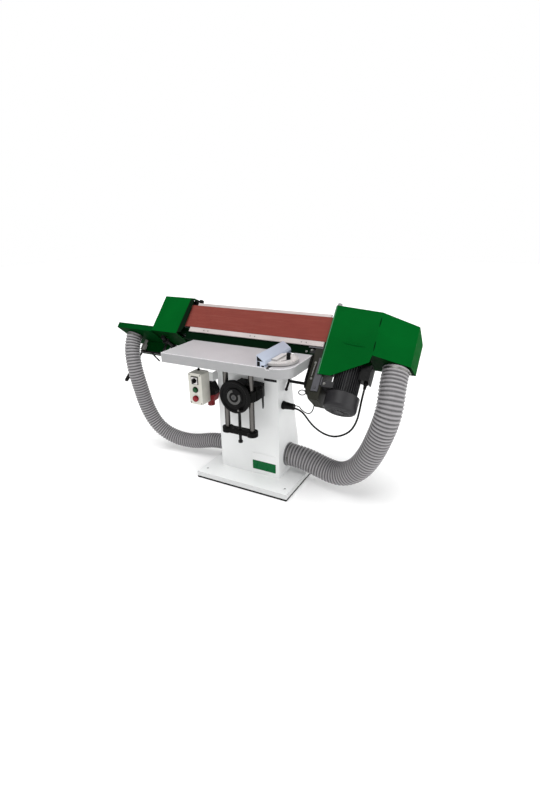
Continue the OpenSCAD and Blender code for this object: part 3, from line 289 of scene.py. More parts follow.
def casting(name, colour, rough=0.55, grain=0.35, metallic=0.0, vary=0.18, gloss=0.2):
    """Rough sand casting under paint."""
    g = Graph(name)
    pits = g.noise(240, 5, 0.6)
    tone = g.mix(g.ramp(g.noise(14, 4), 0.35, 0.7), shade(colour, 1 - vary), shade(colour, 1 + vary))
    tone = g.mix(g.ramp(pits, 0.55, 0.75, 0, 0.4), tone, shade(colour, 1.6))
    g.colour(g.edge_wear_and_highlight(tone, shade(colour, 2.6), 0.003, 0.5))
    g.rough(g.ramp(pits, 0.3, 0.7, rough - 0.1, rough + 0.12))
    g.bump(pits, grain, 0.0012, 0.002)
    g.gloss(gloss)
    g.metallic(metallic)
    return g.material


def moulding(name, colour, rough=0.42, grain=0.12, vary=0.08, gloss=0.25):
    """Moulded plastic or rubber with a fine spark-eroded grain."""
    g = Graph(name)
    tone = g.mix(g.ramp(g.noise(18, 4), 0.35, 0.65), shade(colour, 1 - vary), shade(colour, 1 + vary))
    g.colour(tone)
    g.rough(g.ramp(g.noise(90, 4), 0.3, 0.7, rough - 0.08, rough + 0.1))
    g.bump(g.noise(1400, 2), grain, 0.0004, 0.0008)
    g.gloss(gloss)
    return g.material


def abrasive(name):
    """Red-brown grit on cloth: grains, worn streaks along the belt, darker clouds."""
    g = Graph(name)
    grains = g.noise(900, 2, 0.7)
    streak = g.noise(5, 5, 0.6, (1.2, 26, 26))
    cloud = g.noise(7, 5, 0.6)
    tone = g.mix(g.ramp(grains, 0.3, 0.7), (0.092, 0.016, 0.012), (0.265, 0.058, 0.044))
    tone = g.mix(g.ramp(streak, 0.46, 0.72, 0, 0.45), tone, (0.235, 0.066, 0.052))
    tone = g.mix(g.ramp(cloud, 0.5, 0.8, 0, 0.25), tone, (0.09, 0.02, 0.016))
    g.colour(tone)
    g.rough(g.ramp(grains, 0.3, 0.7, 0.72, 0.95))
    g.bump(grains, 0.5, 0.0008, 0)
    g.gloss(0.15)
    return g.material


def hose_skin(name, colour):
    """Grey plastic hose: pale crests as painted highlight, dark valleys as painted shade."""
    g = Graph(name)
    crest = g.add("ShaderNodeAttribute")
    crest.attribute_name = "crest"
    level = crest.outputs["Fac"]
    # Painted highlight on the rib crests, painted shade in the valleys
    tone = g.mix(g.ramp(level, 0.15, 0.95), shade(colour, 0.34), shade(colour, 1.5))
    tone = g.mix(g.ramp(g.noise(9, 5, 0.6), 0.4, 0.75, 0, 0.30), tone, shade(colour, 0.7))
    tone = g.mix(g.ramp(g.noise(150, 4), 0.5, 0.8, 0, 0.25), tone, shade(colour, 1.6))
    g.colour(tone)
    g.rough(g.ramp(g.noise(60, 4), 0.3, 0.7, 0.34, 0.55))
    g.bump(g.noise(300, 3), 0.2, 0.0008, 0)
    g.gloss(0.4)
    return g.material


# Heights between which the painted highlight along the table's upper edge comes in
TABLE_HIGHLIGHT_LOW = 0.840
TABLE_HIGHLIGHT_HIGH = 0.848


def cast_table(name):
    """Ground cast iron: fine grinding lines, a faint lilac tint, painted shade on the sides, a painted
    highlight along the upper edge.
    """
    g = Graph(name)
    lines = g.noise(8, 6, 0.7, (1.5, 90, 90))
    cloud = g.noise(6, 5, 0.6)
    tone = g.mix(g.ramp(lines, 0.3, 0.7), (0.46, 0.445, 0.462), (0.57, 0.553, 0.573))
    tone = g.mix(g.ramp(cloud, 0.42, 0.78, 0, 0.4), tone, (0.43, 0.417, 0.434))
    # Painted shade: a darker tone for the sides than for the top
    side = g.mix(g.ramp(lines, 0.3, 0.7), (0.275, 0.275, 0.28), (0.34, 0.34, 0.345))
    tone = g.mix(g.facing(0.3, 0.8), side, tone)
    # Painted highlight: a pale band along the upper edges only
    upper = g.ramp(g.component(g.place, "Z"), TABLE_HIGHLIGHT_LOW, TABLE_HIGHLIGHT_HIGH)
    g.colour(g.mix(upper, tone, g.edge_wear_and_highlight(tone, (0.92, 0.90, 0.93), 0.009, 0.9, 0.25)))
    g.rough(g.ramp(lines, 0.25, 0.75, 0.34, 0.52))
    g.bump(lines, 0.10, 0.0004, 0.0015)
    g.metallic(0.15)
    return g.material


def threaded(name, colour):
    """Black screw: thread ridges from bands along its axis, paler on the ridges as painted highlight and
    darker in the grooves as painted shade.
    """
    g = Graph(name)
    wave = g.add("ShaderNodeTexWave", Scale=78.0, Distortion=0.0)
    wave.bands_direction = "Z"
    g.link(g.place, wave.inputs["Vector"])
    ridge = wave.outputs["Fac"]
    # Painted highlight on the ridges, painted shade in the grooves
    g.colour(g.mix(ridge, shade(colour, 0.5), shade(colour, 2.2)))
    g.rough(g.ramp(ridge, 0, 1, 0.5, 0.3))
    g.bump(ridge, 0.8, 0.0016, 0)
    g.metallic(0.7)
    return g.material


GREEN = (0.0005, 0.0765, 0.0104)
# Darker greens: painted shade for the beam, the fold lines and the tray
SHADED_GREEN = (0.0008, 0.0075, 0.0024)
TRAY_SHADED_GREEN = (0.0004, 0.046, 0.0075)
WHITE = (0.735, 0.744, 0.742)
BLACK = (0.006, 0.006, 0.006)
PLASTIC_BLACK = (0.004, 0.004, 0.004)
GREY_METAL = (0.20, 0.20, 0.20)
ALL_WAYS = (40, 40, 40)
# Across the rods as the camera sees them: their flanks get a painted dark reflection, so that a pale line
# stays down their middle as a painted highlight
ROD_PAINTED_REFLECTION_WAY = (0.88, 0.47, 0)

SHEET = {"peel": 0.14, "edge": 0.002}
PANEL = {"rough": 0.36, "peel": 0.14, "gloss": 0.3, "edge": 0.003}
white_paint = paint("white_paint", WHITE, (0.50, 0.51, 0.51), vary=0.025, **PANEL)
# A paler copy of the white paint as painted light on the base's top, with painted shade on its upright
# sides
base_white_lit = paint("base_white_lit", shade(WHITE, 1.24), (0.60, 0.61, 0.61), vary=0.02, side=0.64, **PANEL)
# Green paint with painted shade on its undersides
green_paint = paint(
    "green_paint", GREEN, (0.006, 0.15, 0.034), rough=0.5, vary=0.08, gloss=0.008, under=0.22, **SHEET
)
# A darker copy of the green paint as painted shade, for the beam in the recess under the platen and the
# hood's fold lines; its undersides darker still
green_painted_shade = paint(
    "green_painted_shade", SHADED_GREEN, (0.004, 0.045, 0.012), rough=0.55, vary=0.14, gloss=0.01, under=0.4, **SHEET
)
# A darker copy of the green paint as painted shade, for the tray under the left hood and its apron's end
green_tray_shaded = paint(
    "green_tray_shaded", TRAY_SHADED_GREEN, (0.003, 0.09, 0.018), rough=0.55, vary=0.14, gloss=0.008, under=0.55, **SHEET
)
# Near-black green for strips of painted shade: the left hood's right edge and the beam's lip
green_shade_strip = paint(
    "green_shade_strip", (0.0006, 0.008, 0.002), (0.002, 0.03, 0.008), rough=0.55, peel=0.14, vary=0.14, gloss=0.04
)
# Pale green for a strip of painted highlight along the right hood's left edge
green_highlight_strip = paint(
    "green_highlight_strip", (0.045, 0.155, 0.080), (0.12, 0.26, 0.17), rough=0.45, peel=0.14, gloss=0.05
)
black_paint = paint("black_paint", BLACK, GREY_METAL, peel=0.16, vary=0.2, gloss=0.16)
motor_black = paint(
    "motor_black", (0.0115, 0.011, 0.0125), (0.07, 0.07, 0.075), rough=0.42, peel=0.25, vary=0.15, gloss=0.3
)
platen_paint = paint(
    "platen_paint", (0.46, 0.41, 0.40), (0.30, 0.29, 0.28), rough=0.42, peel=0.1, gloss=0.3
)
label_white = paint("label_white", (0.76, 0.765, 0.765), (0.6, 0.6, 0.6), rough=0.3, peel=0.04, vary=0.02)
label_green = paint(
    "label_green", (0.001, 0.100, 0.026), (0.02, 0.2, 0.08), rough=0.3, peel=0.04, vary=0.03, gloss=0.12
)
black_cast = casting("black_cast", (0.0038, 0.0038, 0.0034), rough=0.45, grain=0.22, vary=0.2, gloss=0.06)
olive_cast = casting("olive_cast", (0.016, 0.016, 0.0115), rough=0.5, vary=0.25, gloss=0.12)
motor_cast = casting("motor_cast", (0.014, 0.014, 0.0155), rough=0.44, grain=0.25, vary=0.2, gloss=0.25)
saddle_iron = casting("saddle_iron", (0.10, 0.10, 0.105), rough=0.5, grain=0.3, metallic=0.3)
belt_grit = abrasive("belt_grit")
table_iron = cast_table("table_iron")
rod_steel = metal("rod_steel", (0.125, 0.119, 0.113), rough=0.24, stretch=(160, 160, 4), painted_reflection_way=ROD_PAINTED_REFLECTION_WAY)
plain_steel = metal("plain_steel", (0.30, 0.30, 0.31), rough=0.34)
drum_steel = metal("drum_steel", (0.26, 0.26, 0.27), rough=0.36, stretch=(60, 60, 60))
zinc_steel = metal("zinc_steel", (0.17, 0.168, 0.16), rough=0.42, stretch=ALL_WAYS)
dark_steel = metal("dark_steel", (0.075, 0.075, 0.08), rough=0.45, stretch=ALL_WAYS)
rail_steel = metal(
    "rail_steel", (0.050, 0.050, 0.058), rough=0.5, stretch=(120, 4, 4), vary=0.14, metallic=0.3
)
fence_alloy = metal(
    "fence_alloy",
    (0.44, 0.485, 0.585),
    rough=0.36,
    stretch=(120, 3, 120),
    vary=0.08,
    metallic=0.25,
    marks=0.08,
)
CAST_ALLOY = {"rough": 0.38, "stretch": ALL_WAYS, "vary": 0.06, "metallic": 0.2, "marks": 0.05}
head_alloy = metal("head_alloy", (0.70, 0.675, 0.665), **CAST_ALLOY)
# Copy of the head's alloy with painted shade on the gauge head's sides
protractor_alloy_shaded = metal("protractor_alloy_shaded", (0.68, 0.655, 0.645), side=0.5, **CAST_ALLOY)
hose_grey = hose_skin("hose_grey", (0.200, 0.193, 0.199))
cord_black = moulding("cord_black", PLASTIC_BLACK, rough=0.5, vary=0.1, gloss=0.12)
pad_rubber = moulding("pad_rubber", (0.005, 0.005, 0.005), rough=0.75, grain=0.3, vary=0.2, gloss=0.1)
box_cream = moulding("box_cream", (0.64, 0.63, 0.567), rough=0.45, vary=0.05, gloss=0.3)
cup_grey = moulding("cup_grey", (0.22, 0.215, 0.20), rough=0.5)
black_plastic = moulding("black_plastic", PLASTIC_BLACK, rough=0.38, grain=0.14, vary=0.15, gloss=0.08)
grey_plastic = moulding("grey_plastic", (0.24, 0.24, 0.245), rough=0.5)
ring_grey = moulding("ring_grey", (0.085, 0.085, 0.082), rough=0.45)
green_plastic = moulding("green_plastic", (0.010, 0.075, 0.022), rough=0.25)
red_plastic = moulding("red_plastic", (0.22, 0.008, 0.014), rough=0.25)
collar_red = moulding("collar_red", (0.16, 0.004, 0.006), rough=0.4)
screw_black = threaded("screw_black", (0.012, 0.012, 0.012))

LOOKS = {
    "base_plate": base_white_lit,
    "floor_pads": pad_rubber,
    "column": white_paint,
    "trunnion_stands": black_cast,
    "column_inlets": grey_plastic,
    "rear_outlet": grey_plastic,
    "lift_housing": black_cast,
    "switch_box": box_cream,
    "switch_bracket": white_paint,
    "power_inlet": black_plastic,
    "inlet_collar": collar_red,
    "cord_connector": black_plastic,
    "head_beam": green_painted_shade,
    "trunnion_lugs": black_cast,
    "tilt_quadrant": black_paint,
    "platen": platen_paint,
    "sanding_belt": belt_grit,
    "rear_guard": green_paint,
    "left_hood": green_paint,
    "left_tray": green_tray_shaded,
    "right_hood": green_paint,
    "hose_spigots": grey_plastic,
    "motor_body": motor_cast,
    "fan_cover": motor_black,
    "terminal_box": black_plastic,
    "drive_bracket": olive_cast,
    "bracket_rail": rail_steel,
    "tracking_arm": black_paint,
    "tension_mounts": black_paint,
    "spring_cup": cup_grey,
    "motor_shaft": rod_steel,
    "motor_fan": grey_plastic,
    "drive_drum": drum_steel,
    "idler_carriage": plain_steel,
    "idler_shaft": rod_steel,
    "idler_drum": drum_steel,
    "tension_lever": black_paint,
    "tracking_knob": black_plastic,
    "tracking_lock": black_plastic,
    "hood_knob": grey_plastic,
    "tilt_lever": black_paint,
    "table": table_iron,
    "table_saddle": saddle_iron,
    "guide_rods": rod_steel,
    "cross_plate": black_cast,
    "handwheel": black_plastic,
    "handwheel_shaft": dark_steel,
    "lead_screw": screw_black,
    "table_lever": black_paint,
    "gauge_bar": rod_steel,
    "gauge_head": protractor_alloy_shaded,
    "fence": fence_alloy,
    "gauge_lever": black_plastic,
    "selector": black_plastic,
    "green_button": green_plastic,
    "red_button": red_plastic,
}
for name, look in LOOKS.items():
    slots = nodes[name].data.materials
    slots.clear()
    slots.append(look)

# Mesh helpers

# Radius of a turned profile where it meets its axis
AXIS = 0.00001
# Points on a plate's rounded corner
CORNER_POINTS = 6


def mesh_piece(name, verts, faces, look, smooth=True):
    """A new object of one material, with its faces turned to point outward."""
    mesh = bpy.data.meshes.new(name)
    mesh.from_pydata([tuple(v) for v in verts], [], faces)
    work = bmesh.new()
    work.from_mesh(mesh)
    bmesh.ops.recalc_face_normals(work, faces=work.faces)
    work.to_mesh(mesh)
    work.free()
    mesh.materials.append(look)
    mesh.polygons.foreach_set("use_smooth", [smooth] * len(mesh.polygons))
    mesh.update()
    obj = bpy.data.objects.new(name, mesh)
    bpy.context.collection.objects.link(obj)
    return obj


def axes(direction):
    """Two unit vectors square to a direction, and the direction as a third."""
    d = Vector(direction).normalized()
    side = Vector((0, 0, 1)) if abs(d.z) < 0.8 else Vector((0, 1, 0))
    a = d.cross(side).normalized()
    return a, d.cross(a), d


def lathe(profile, origin, direction, sides=48, start=0.0, sweep=360.0):
    """Verts and faces of a profile of (radius, height) turned about an axis."""
    a, b, d = axes(direction)
    whole = sweep >= 360
    count = sides if whole else sides + 1
    verts, faces = [], []
    for i in range(count):
        t = math.radians(start + sweep * i / sides)
        out = a * math.cos(t) + b * math.sin(t)
        verts += [Vector(origin) + out * r + d * h for r, h in profile]
    n = len(profile)
    for i in range(sides):
        j = (i + 1) % count
        for k in range(n - 1):
            faces.append((i * n + k, j * n + k, j * n + k + 1, i * n + k + 1))
    return verts, faces


def join(parts):
    """Verts and faces of several shapes as one."""
    verts, faces = [], []
    for v, f in parts:
        first = len(verts)
        verts += v
        faces += [tuple(i + first for i in face) for face in f]
    return verts, faces


def bolt(origin, direction, r, h):
    """Hexagon head with a chamfered top on a washer."""
    washer = [(r * 0.5, 0), (r * 1.5, 0), (r * 1.5, h * 0.2), (r * 0.5, h * 0.2)]
    hexagon = [(r * 1.1, h * 0.2), (r * 1.1, h * 0.85), (r * 0.95, h), (r * 0.5, h), (AXIS, h * 0.94)]
    return join([lathe(washer, origin, direction, 24), lathe(hexagon, origin, direction, 6)])


def cap_screw(origin, direction, r, h):
    """Round head with a socket."""
    head_side = [(r, 0), (r, h * 0.8), (r * 0.88, h), (r * 0.5, h)]
    socket = [(r * 0.46, h * 0.4), (AXIS, h * 0.36)]
    return lathe(head_side + socket, origin, direction, 20)


def bolts(name, body, places, size, look, shape=bolt):
    """One piece of several fasteners of one size, which is a radius and a height."""
    verts, faces = join([shape(p, d, *size) for p, d in places])
    obj = mesh_piece(name, verts, faces, look, smooth=False)
    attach(obj, body)


def plate(name, body, centre, u, v, size, thick, corner, look):
    """Thin plate with rounded corners and a broken front edge, lying on a surface."""
    u, v = Vector(u).normalized(), Vector(v).normalized()
    n = u.cross(v)
    half_u, half_v = size[0] / 2, size[1] / 2
    loops = []
    for inset, lift in ((0, 0), (0, thick * 0.6), (thick * 0.4, thick)):
        ring = []
        for k, (cu, cv) in enumerate(((1, 1), (-1, 1), (-1, -1), (1, -1))):
            for s in range(CORNER_POINTS):
                t = math.radians(90 * k + 90 * s / (CORNER_POINTS - 1))
                pu = cu * (half_u - corner) + (corner - inset) * math.cos(t)
                pv = cv * (half_v - corner) + (corner - inset) * math.sin(t)
                ring.append(Vector(centre) + u * pu + v * pv + n * lift)
        loops.append(ring)
    count = len(loops[0])
    verts = [p for ring in loops for p in ring]
    faces = []
    for level in range(2):
        low, high = level * count, (level + 1) * count
        for i in range(count):
            j = (i + 1) % count
            faces.append((low + i, low + j, high + j, high + i))
    faces.append(tuple(range(2 * count, 3 * count)))
    faces.append(tuple(reversed(range(count))))
    obj = mesh_piece(name, verts, faces, look, smooth=False)
    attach(obj, body)


def front_plate(name, centre, size, thick, corner, look):
    """Plate on an upright face of the column or the switch box that looks to the operator."""
    plate(name, "column", centre, X_DIR, UP, size, thick, corner, look)


def prism(name, body, outline, depth, look):
    """Flat outline of points pushed out along a vector."""
    n = len(outline)
    verts = [Vector(p) for p in outline] + [Vector(p) + Vector(depth) for p in outline]
    faces = [(i, (i + 1) % n, n + (i + 1) % n, n + i) for i in range(n)]
    faces += [tuple(reversed(range(n))), tuple(range(n, 2 * n))]
    obj = mesh_piece(name, verts, faces, look, smooth=False)
    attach(obj, body)


def bead(name, body, start, end, width, height, look):
    """Pressed ridge on the hoods' front, running out to nothing at both ends."""
    start, end = Vector(start), Vector(end)
    side = (end - start).normalized().cross(FRONT)
    sunk = 0.0003
    steps, arc = 28, 10
    verts, faces = [], []
    for i in range(steps + 1):
        grow = max(0.02, math.sin(math.pi * i / steps)) ** 0.6
        for k in range(arc + 1):
            t = math.pi * k / arc
            lift = FRONT * (height * grow * math.sin(t) - sunk)
            verts.append(start.lerp(end, i / steps) + side * (width / 2 * grow * math.cos(t)) + lift)
    ring = arc + 1
    for i in range(steps):
        for k in range(ring):
            j = (k + 1) % ring
            faces.append((i * ring + k, i * ring + j, (i + 1) * ring + j, (i + 1) * ring + k))
    faces += [tuple(range(ring)), tuple(range(steps * ring, (steps + 1) * ring))]
    obj = mesh_piece(name, verts, faces, look)
    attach(obj, body)


# Hoses and cords: near the routes of their CAD solids, with the bends evened out

PATH_POINTS = 201
RIB_STEPS = 8
HOSE_SIDES = 40
CORD_POINTS = 161
CORD_SIDES = 16


def hermite(a, b, ta, tb, t):
    """A point of the curve from a to b that leaves along ta and arrives along tb."""
    return (
        a * (2 * t**3 - 3 * t**2 + 1)
        + ta * (t**3 - 2 * t**2 + t)
        + b * (3 * t**2 - 2 * t**3)
        + tb * (t**3 - t**2)
    )


def smooth_path(route, steps=12):
    """Straight first and last runs with Hermite curves between, as in the CAD source."""
    r = [Vector(p) for p in route]
    n = len(r)

    def tangent(i):
        if i == 1:
            return (r[1] - r[0]).normalized() * (r[2] - r[1]).length
        if i == n - 2:
            return (r[n - 1] - r[n - 2]).normalized() * (r[n - 2] - r[n - 3]).length
        return (r[i + 1] - r[i - 1]) / 2

    path = [r[0].lerp(r[1], k / steps) for k in range(steps)]
    for i in range(1, n - 2):
        path += [hermite(r[i], r[i + 1], tangent(i), tangent(i + 1), k / steps) for k in range(steps)]
    path += [r[n - 2].lerp(r[n - 1], k / steps) for k in range(steps + 1)]
    return path


def along(path, count):
    """Points at even spacing, and the path's length."""
    p = np.array(path, float)
    s = np.concatenate([[0], np.cumsum(np.linalg.norm(np.diff(p, axis=0), axis=1))])
    at = np.linspace(0, s[-1], count)
    return np.stack([np.interp(at, s, p[:, k]) for k in range(3)], axis=1), float(s[-1])


def relaxed(path, rounds=120, hold=5):
    """Even points of a path with its bends spread out and its ends held."""
    p = along(path, PATH_POINTS)[0]
    for _ in range(rounds):
        middle = (p[:-2] + p[2:]) / 2
        p[hold:-hold] += (middle[hold - 1 : 1 - hold] - p[hold:-hold]) / 2
    return p


def tube(name, points, radii, sides, look, crests=None):
    """Swept tube with one radius per ring and closed ends."""
    p = np.array(points, float)
    t = np.gradient(p, axis=0)
    t /= np.linalg.norm(t, axis=1)[:, None]
    ref = np.array([0.0, 1.0, 0.0])
    a = ref - t * (t @ ref)[:, None]
    a /= np.linalg.norm(a, axis=1)[:, None]
    b = np.cross(t, a)
    turn = np.arange(sides) * 2 * math.pi / sides
    ring = a[:, None, :] * np.cos(turn)[None, :, None] + b[:, None, :] * np.sin(turn)[None, :, None]
    verts = (p[:, None, :] + ring * np.array(radii)[:, None, None]).reshape(-1, 3)
    faces = []
    for i in range(len(p) - 1):
        for j in range(sides):
            k = (j + 1) % sides
            faces.append((i * sides + j, i * sides + k, (i + 1) * sides + k, (i + 1) * sides + j))
    faces.append(tuple(reversed(range(sides))))
    faces.append(tuple(range((len(p) - 1) * sides, len(p) * sides)))
    obj = mesh_piece(name, verts, faces, look)
    if crests is not None:
        mark = obj.data.attributes.new("crest", "FLOAT", "POINT")
        mark.data.foreach_set("value", np.repeat(np.array(crests, np.float32), sides))
    return obj


LEFT_IN = Vector((-0.2253, 0.040, 0.142))
RIGHT_IN = Vector((0.2053, 0.045, 0.160))
LEFT_START = head(-938, 8, -30.3)
RIGHT_START = head(834, 60, -12.3)
LEFT_ROUTE = [
    LEFT_START,
    LEFT_START + DOWN * 0.065,
    (-0.914, -0.072, 0.690),
    (-0.902, -0.078, 0.600),
    (-0.889, -0.062, 0.480),
    (-0.866, -0.040, 0.316),
    (-0.806, -0.010, 0.172),
    (-0.680, 0.020, 0.097),
    (-0.510, 0.035, 0.096),
    LEFT_IN - Vector((0.104, 0, 0)),
    LEFT_IN,
]
RIGHT_ROUTE = [
    RIGHT_START,
    RIGHT_START + DOWN * 0.075,
    (0.844, -0.058, 0.655),
    (0.832, -0.076, 0.560),
    (0.799, -0.068, 0.450),
    (0.750, -0.050, 0.322),
    (0.672, -0.020, 0.196),
    (0.560, 0.010, 0.123),
    (0.430, 0.034, 0.130),
    RIGHT_IN + Vector((0.085, 0, -0.002)),
    RIGHT_IN,
]
GLAND_END = head(716, -20, -181)
CONNECTOR = Vector((0.274, -0.026, 0.522))
CORD_ROUTE = [
    GLAND_END,
    GLAND_END + DOWN * 0.04,
    (0.708, -0.158, 0.620),
    (0.692, -0.140, 0.560),
    (0.654, -0.114, 0.484),
    (0.600, -0.098, 0.437),
    (0.540, -0.084, 0.410),
    (0.470, -0.070, 0.414),
    (0.400, -0.056, 0.446),
    CONNECTOR + Vector((0.050, 0, -0.016)),
    CONNECTOR + Vector((0.022, 0, -0.009)),
    CONNECTOR + Vector((0, 0, -0.009)),
]
THIN_START = head(452, 34, -296.3)
THIN_ROUTE = [
    THIN_START,
    THIN_START + DOWN * 0.012,
    (0.448, -0.160, 0.583),
    (0.428, -0.148, 0.5585),
    (0.398, -0.1215, 0.5425),
    (0.362, -0.086, 0.533),
    (0.328, -0.052, 0.5305),
    CONNECTOR + Vector((0.026, 0, 0.010)),
    CONNECTOR + Vector((0, 0, 0.010)),
]
# Diameters over the ribs, and the ribs' spacing and depth
LEFT_OVER_RIBS = 0.104
RIGHT_OVER_RIBS = 0.145
LEFT_PITCH = 0.018
RIGHT_PITCH = 0.020
RIB_DEPTH = 0.006


def ribbed(name, route, diameter, pitch):
    """Hose with rounded wire ribs at even spacing, which starts and ends in a valley."""
    path = relaxed(smooth_path(route))
    length = along(path, 3)[1]
    ribs = 2 * round(length / pitch / 2)
    points = along(path, ribs * RIB_STEPS + 1)[0]
    phase = np.arange(ribs * RIB_STEPS + 1) / RIB_STEPS
    crest = (0.5 - 0.5 * np.cos(2 * math.pi * phase)) ** 0.8
    radii = diameter / 2 - RIB_DEPTH + RIB_DEPTH * crest
    obj = tube(name, points, radii, HOSE_SIDES, hose_grey, crest)
    return obj, points, length


def soft_piece(obj, node):
    """A hose or cord from the column at start to the head at end: its CAD node is hidden and its place
    baked into its mesh.
    """
    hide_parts(node)
    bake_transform(obj)


left_hose, left_points, left_length = ribbed("left_hose_ribbed", LEFT_ROUTE, LEFT_OVER_RIBS, LEFT_PITCH)
soft_piece(left_hose, "left_hose")
right_hose = ribbed("right_hose_ribbed", RIGHT_ROUTE, RIGHT_OVER_RIBS, RIGHT_PITCH)[0]
soft_piece(right_hose, "right_hose")


def cord(name, node, route, diameter):
    """A plain cord from the head to the connector on the column."""
    path = relaxed(smooth_path(route))
    points, length = along(path, CORD_POINTS)
    obj = tube(name, points, [diameter / 2] * len(points), CORD_SIDES, cord_black)
    soft_piece(obj, node)


cord("motor_cord_tube", "motor_cord", CORD_ROUTE, 0.011)
cord("switch_cord_tube", "switch_cord", THIN_ROUTE, 0.006)

# Label plates and a dark strip on the column's front

COLUMN_FRONT = -0.084
LABEL_THICK = 0.0012
for name, x, z, size, corner, look in (
    ("label_upper", 0.094, 0.164, (0.164, 0.052), 0.004, label_white),
    ("label_lower", 0.094, 0.1065, (0.164, 0.063), 0.004, label_green),
    ("dark_column_strip", 0.148, 0.6885, (0.084, 0.015), 0.003, motor_black),
):
    front_plate(name, (x, COLUMN_FRONT, z), size, LABEL_THICK, corner, look)

# Handwheel dial: a broken grey ring, a hub ring and the handle's screw

WHEEL_FACE = Vector((-0.006, -0.2422, 0.612))
HANDLE_END = Vector((0.033, -0.2612, 0.5445))
HANDLE_SCREW = (0.006, 0.003)
DIAL = [(0.0305, 0), (0.0305, 0.0014), (0.0317, 0.002), (0.0433, 0.002), (0.0445, 0.0014), (0.0445, 0)]
DIAL_START = -80
DIAL_SWEEP = 291
HUB = [(0.0075, 0), (0.0075, 0.0035), (0.0085, 0.0042), (0.0152, 0.0042), (0.0163, 0.0030), (0.0163, 0)]
dial = lathe(DIAL, WHEEL_FACE, OUT, 60, DIAL_START, DIAL_SWEEP)
hub_ring = lathe(HUB, WHEEL_FACE, OUT, 40)
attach(mesh_piece("handwheel_dial", *join([dial, hub_ring]), ring_grey, smooth=False), "handwheel")
bolts("handle_screw", "handwheel", [(HANDLE_END, OUT)], HANDLE_SCREW, zinc_steel, cap_screw)

# Switch box: button collars and caps, selector plate, gland, red wedge of the inlet, lid screws

BOX_FRONT = -0.214
BUTTON_X = -0.296
SELECTOR_Y = BOX_FRONT - 0.003
COLLAR = [(0.0146, 0), (0.0146, 0.003), (0.0156, 0.004), (0.0182, 0.004), (0.0192, 0.003), (0.0192, 0)]
DOME = [
    (AXIS, 0.0086),
    (0.0138, 0.0088),
    (0.0144, 0.0100),
    (0.0136, 0.0122),
    (0.0090, 0.0140),
    (AXIS, 0.0148),
]
MUSHROOM = [
    (AXIS, 0.0086),
    (0.0180, 0.0088),
    (0.0192, 0.0105),
    (0.0188, 0.0125),
    (0.0160, 0.0150),
    (0.0095, 0.0166),
    (AXIS, 0.0172),
]
for hue, z, shape, skin, rim in (
    ("green", 0.603, DOME, green_plastic, black_plastic),
    ("red", 0.547, MUSHROOM, red_plastic, collar_red),
):
    place = Vector((BUTTON_X, BOX_FRONT, z))
    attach(mesh_piece(hue + "_button_collar", *lathe(COLLAR, place, OUT, 40), rim), "column")
    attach(mesh_piece(hue + "_button_cap", *lathe(shape, place, OUT, 40), skin), hue + "_button")
front_plate("selector_frame", (BUTTON_X, SELECTOR_Y, 0.663), (0.052, 0.052), 0.0010, 0.004, black_plastic)
front_plate("selector_plate", (-0.298, SELECTOR_Y, 0.661), (0.044, 0.044), 0.0020, 0.003, head_alloy)
BOX_TOP = (-0.310, -0.150, 0.707)
GLAND = [(0.009, 0), (0.009, 0.006), (0.007, 0.007), (0.006, 0.013), (AXIS, 0.0135)]
gland = lathe(GLAND, BOX_TOP, UP, 20)
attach(mesh_piece("switch_box_gland", *gland, black_plastic, smooth=False), "column")
WEDGE_Y = -0.137
WEDGE_DEPTH = (0, 0.050, 0)
WEDGE = ((-0.247, 0.512), (-0.222, 0.512), (-0.208, 0.558), (-0.247, 0.545))
prism("inlet_wedge", "column", [(x, WEDGE_Y, z) for x, z in WEDGE], WEDGE_DEPTH, collar_red)
LID_SCREW = (0.0035, 0.0025)
lid_corners = [(Vector((x, BOX_FRONT, z)), OUT) for x in (-0.334, -0.258) for z in (0.517, 0.697)]
bolts("switch_box_screws", "column", lid_corners, LID_SCREW, zinc_steel, cap_screw)

# Fasteners of the head: the v of the face they sit on, and each one's x and w

SMALL_BOLT = (0.0045, 0.004)
LARGE_BOLT = (0.005, 0.004)
PLATEN_SCREW = (0.004, 0.0005)
PLATEN_ROW = [(x, 22) for x in (-345, -315, -15, 15, 315, 345)]
for name, v, row, size, look, shape in (
    ("beam_bolts", -57, [(387, -15), (357, -27)], SMALL_BOLT, zinc_steel, bolt),
    ("bracket_bolts", -66, [(432, -89), (432, -182)], SMALL_BOLT, zinc_steel, bolt),
    ("rail_bolts", -71.5, [(468, -80), (468, -230)], LARGE_BOLT, dark_steel, bolt),
    ("platen_screws", -66.4, PLATEN_ROW, PLATEN_SCREW, zinc_steel, cap_screw),
):
    bolts(name, "head", [(head(x, v, w), FRONT) for x, w in row], size, look, shape)
MOTOR_FOOT_X = 513
MOTOR_FOOT_V = 70
motor_places = [
    (head(MOTOR_FOOT_X, MOTOR_FOOT_V * way, w), V_DIR * way) for way in (-1, 1) for w in (-201, -89)
]
bolts("motor_bolts", "head", motor_places, LARGE_BOLT, zinc_steel)

# Trims of the hoods: a painted highlight strip, a painted shade strip, a pressed bead and fold lines in
# painted shade

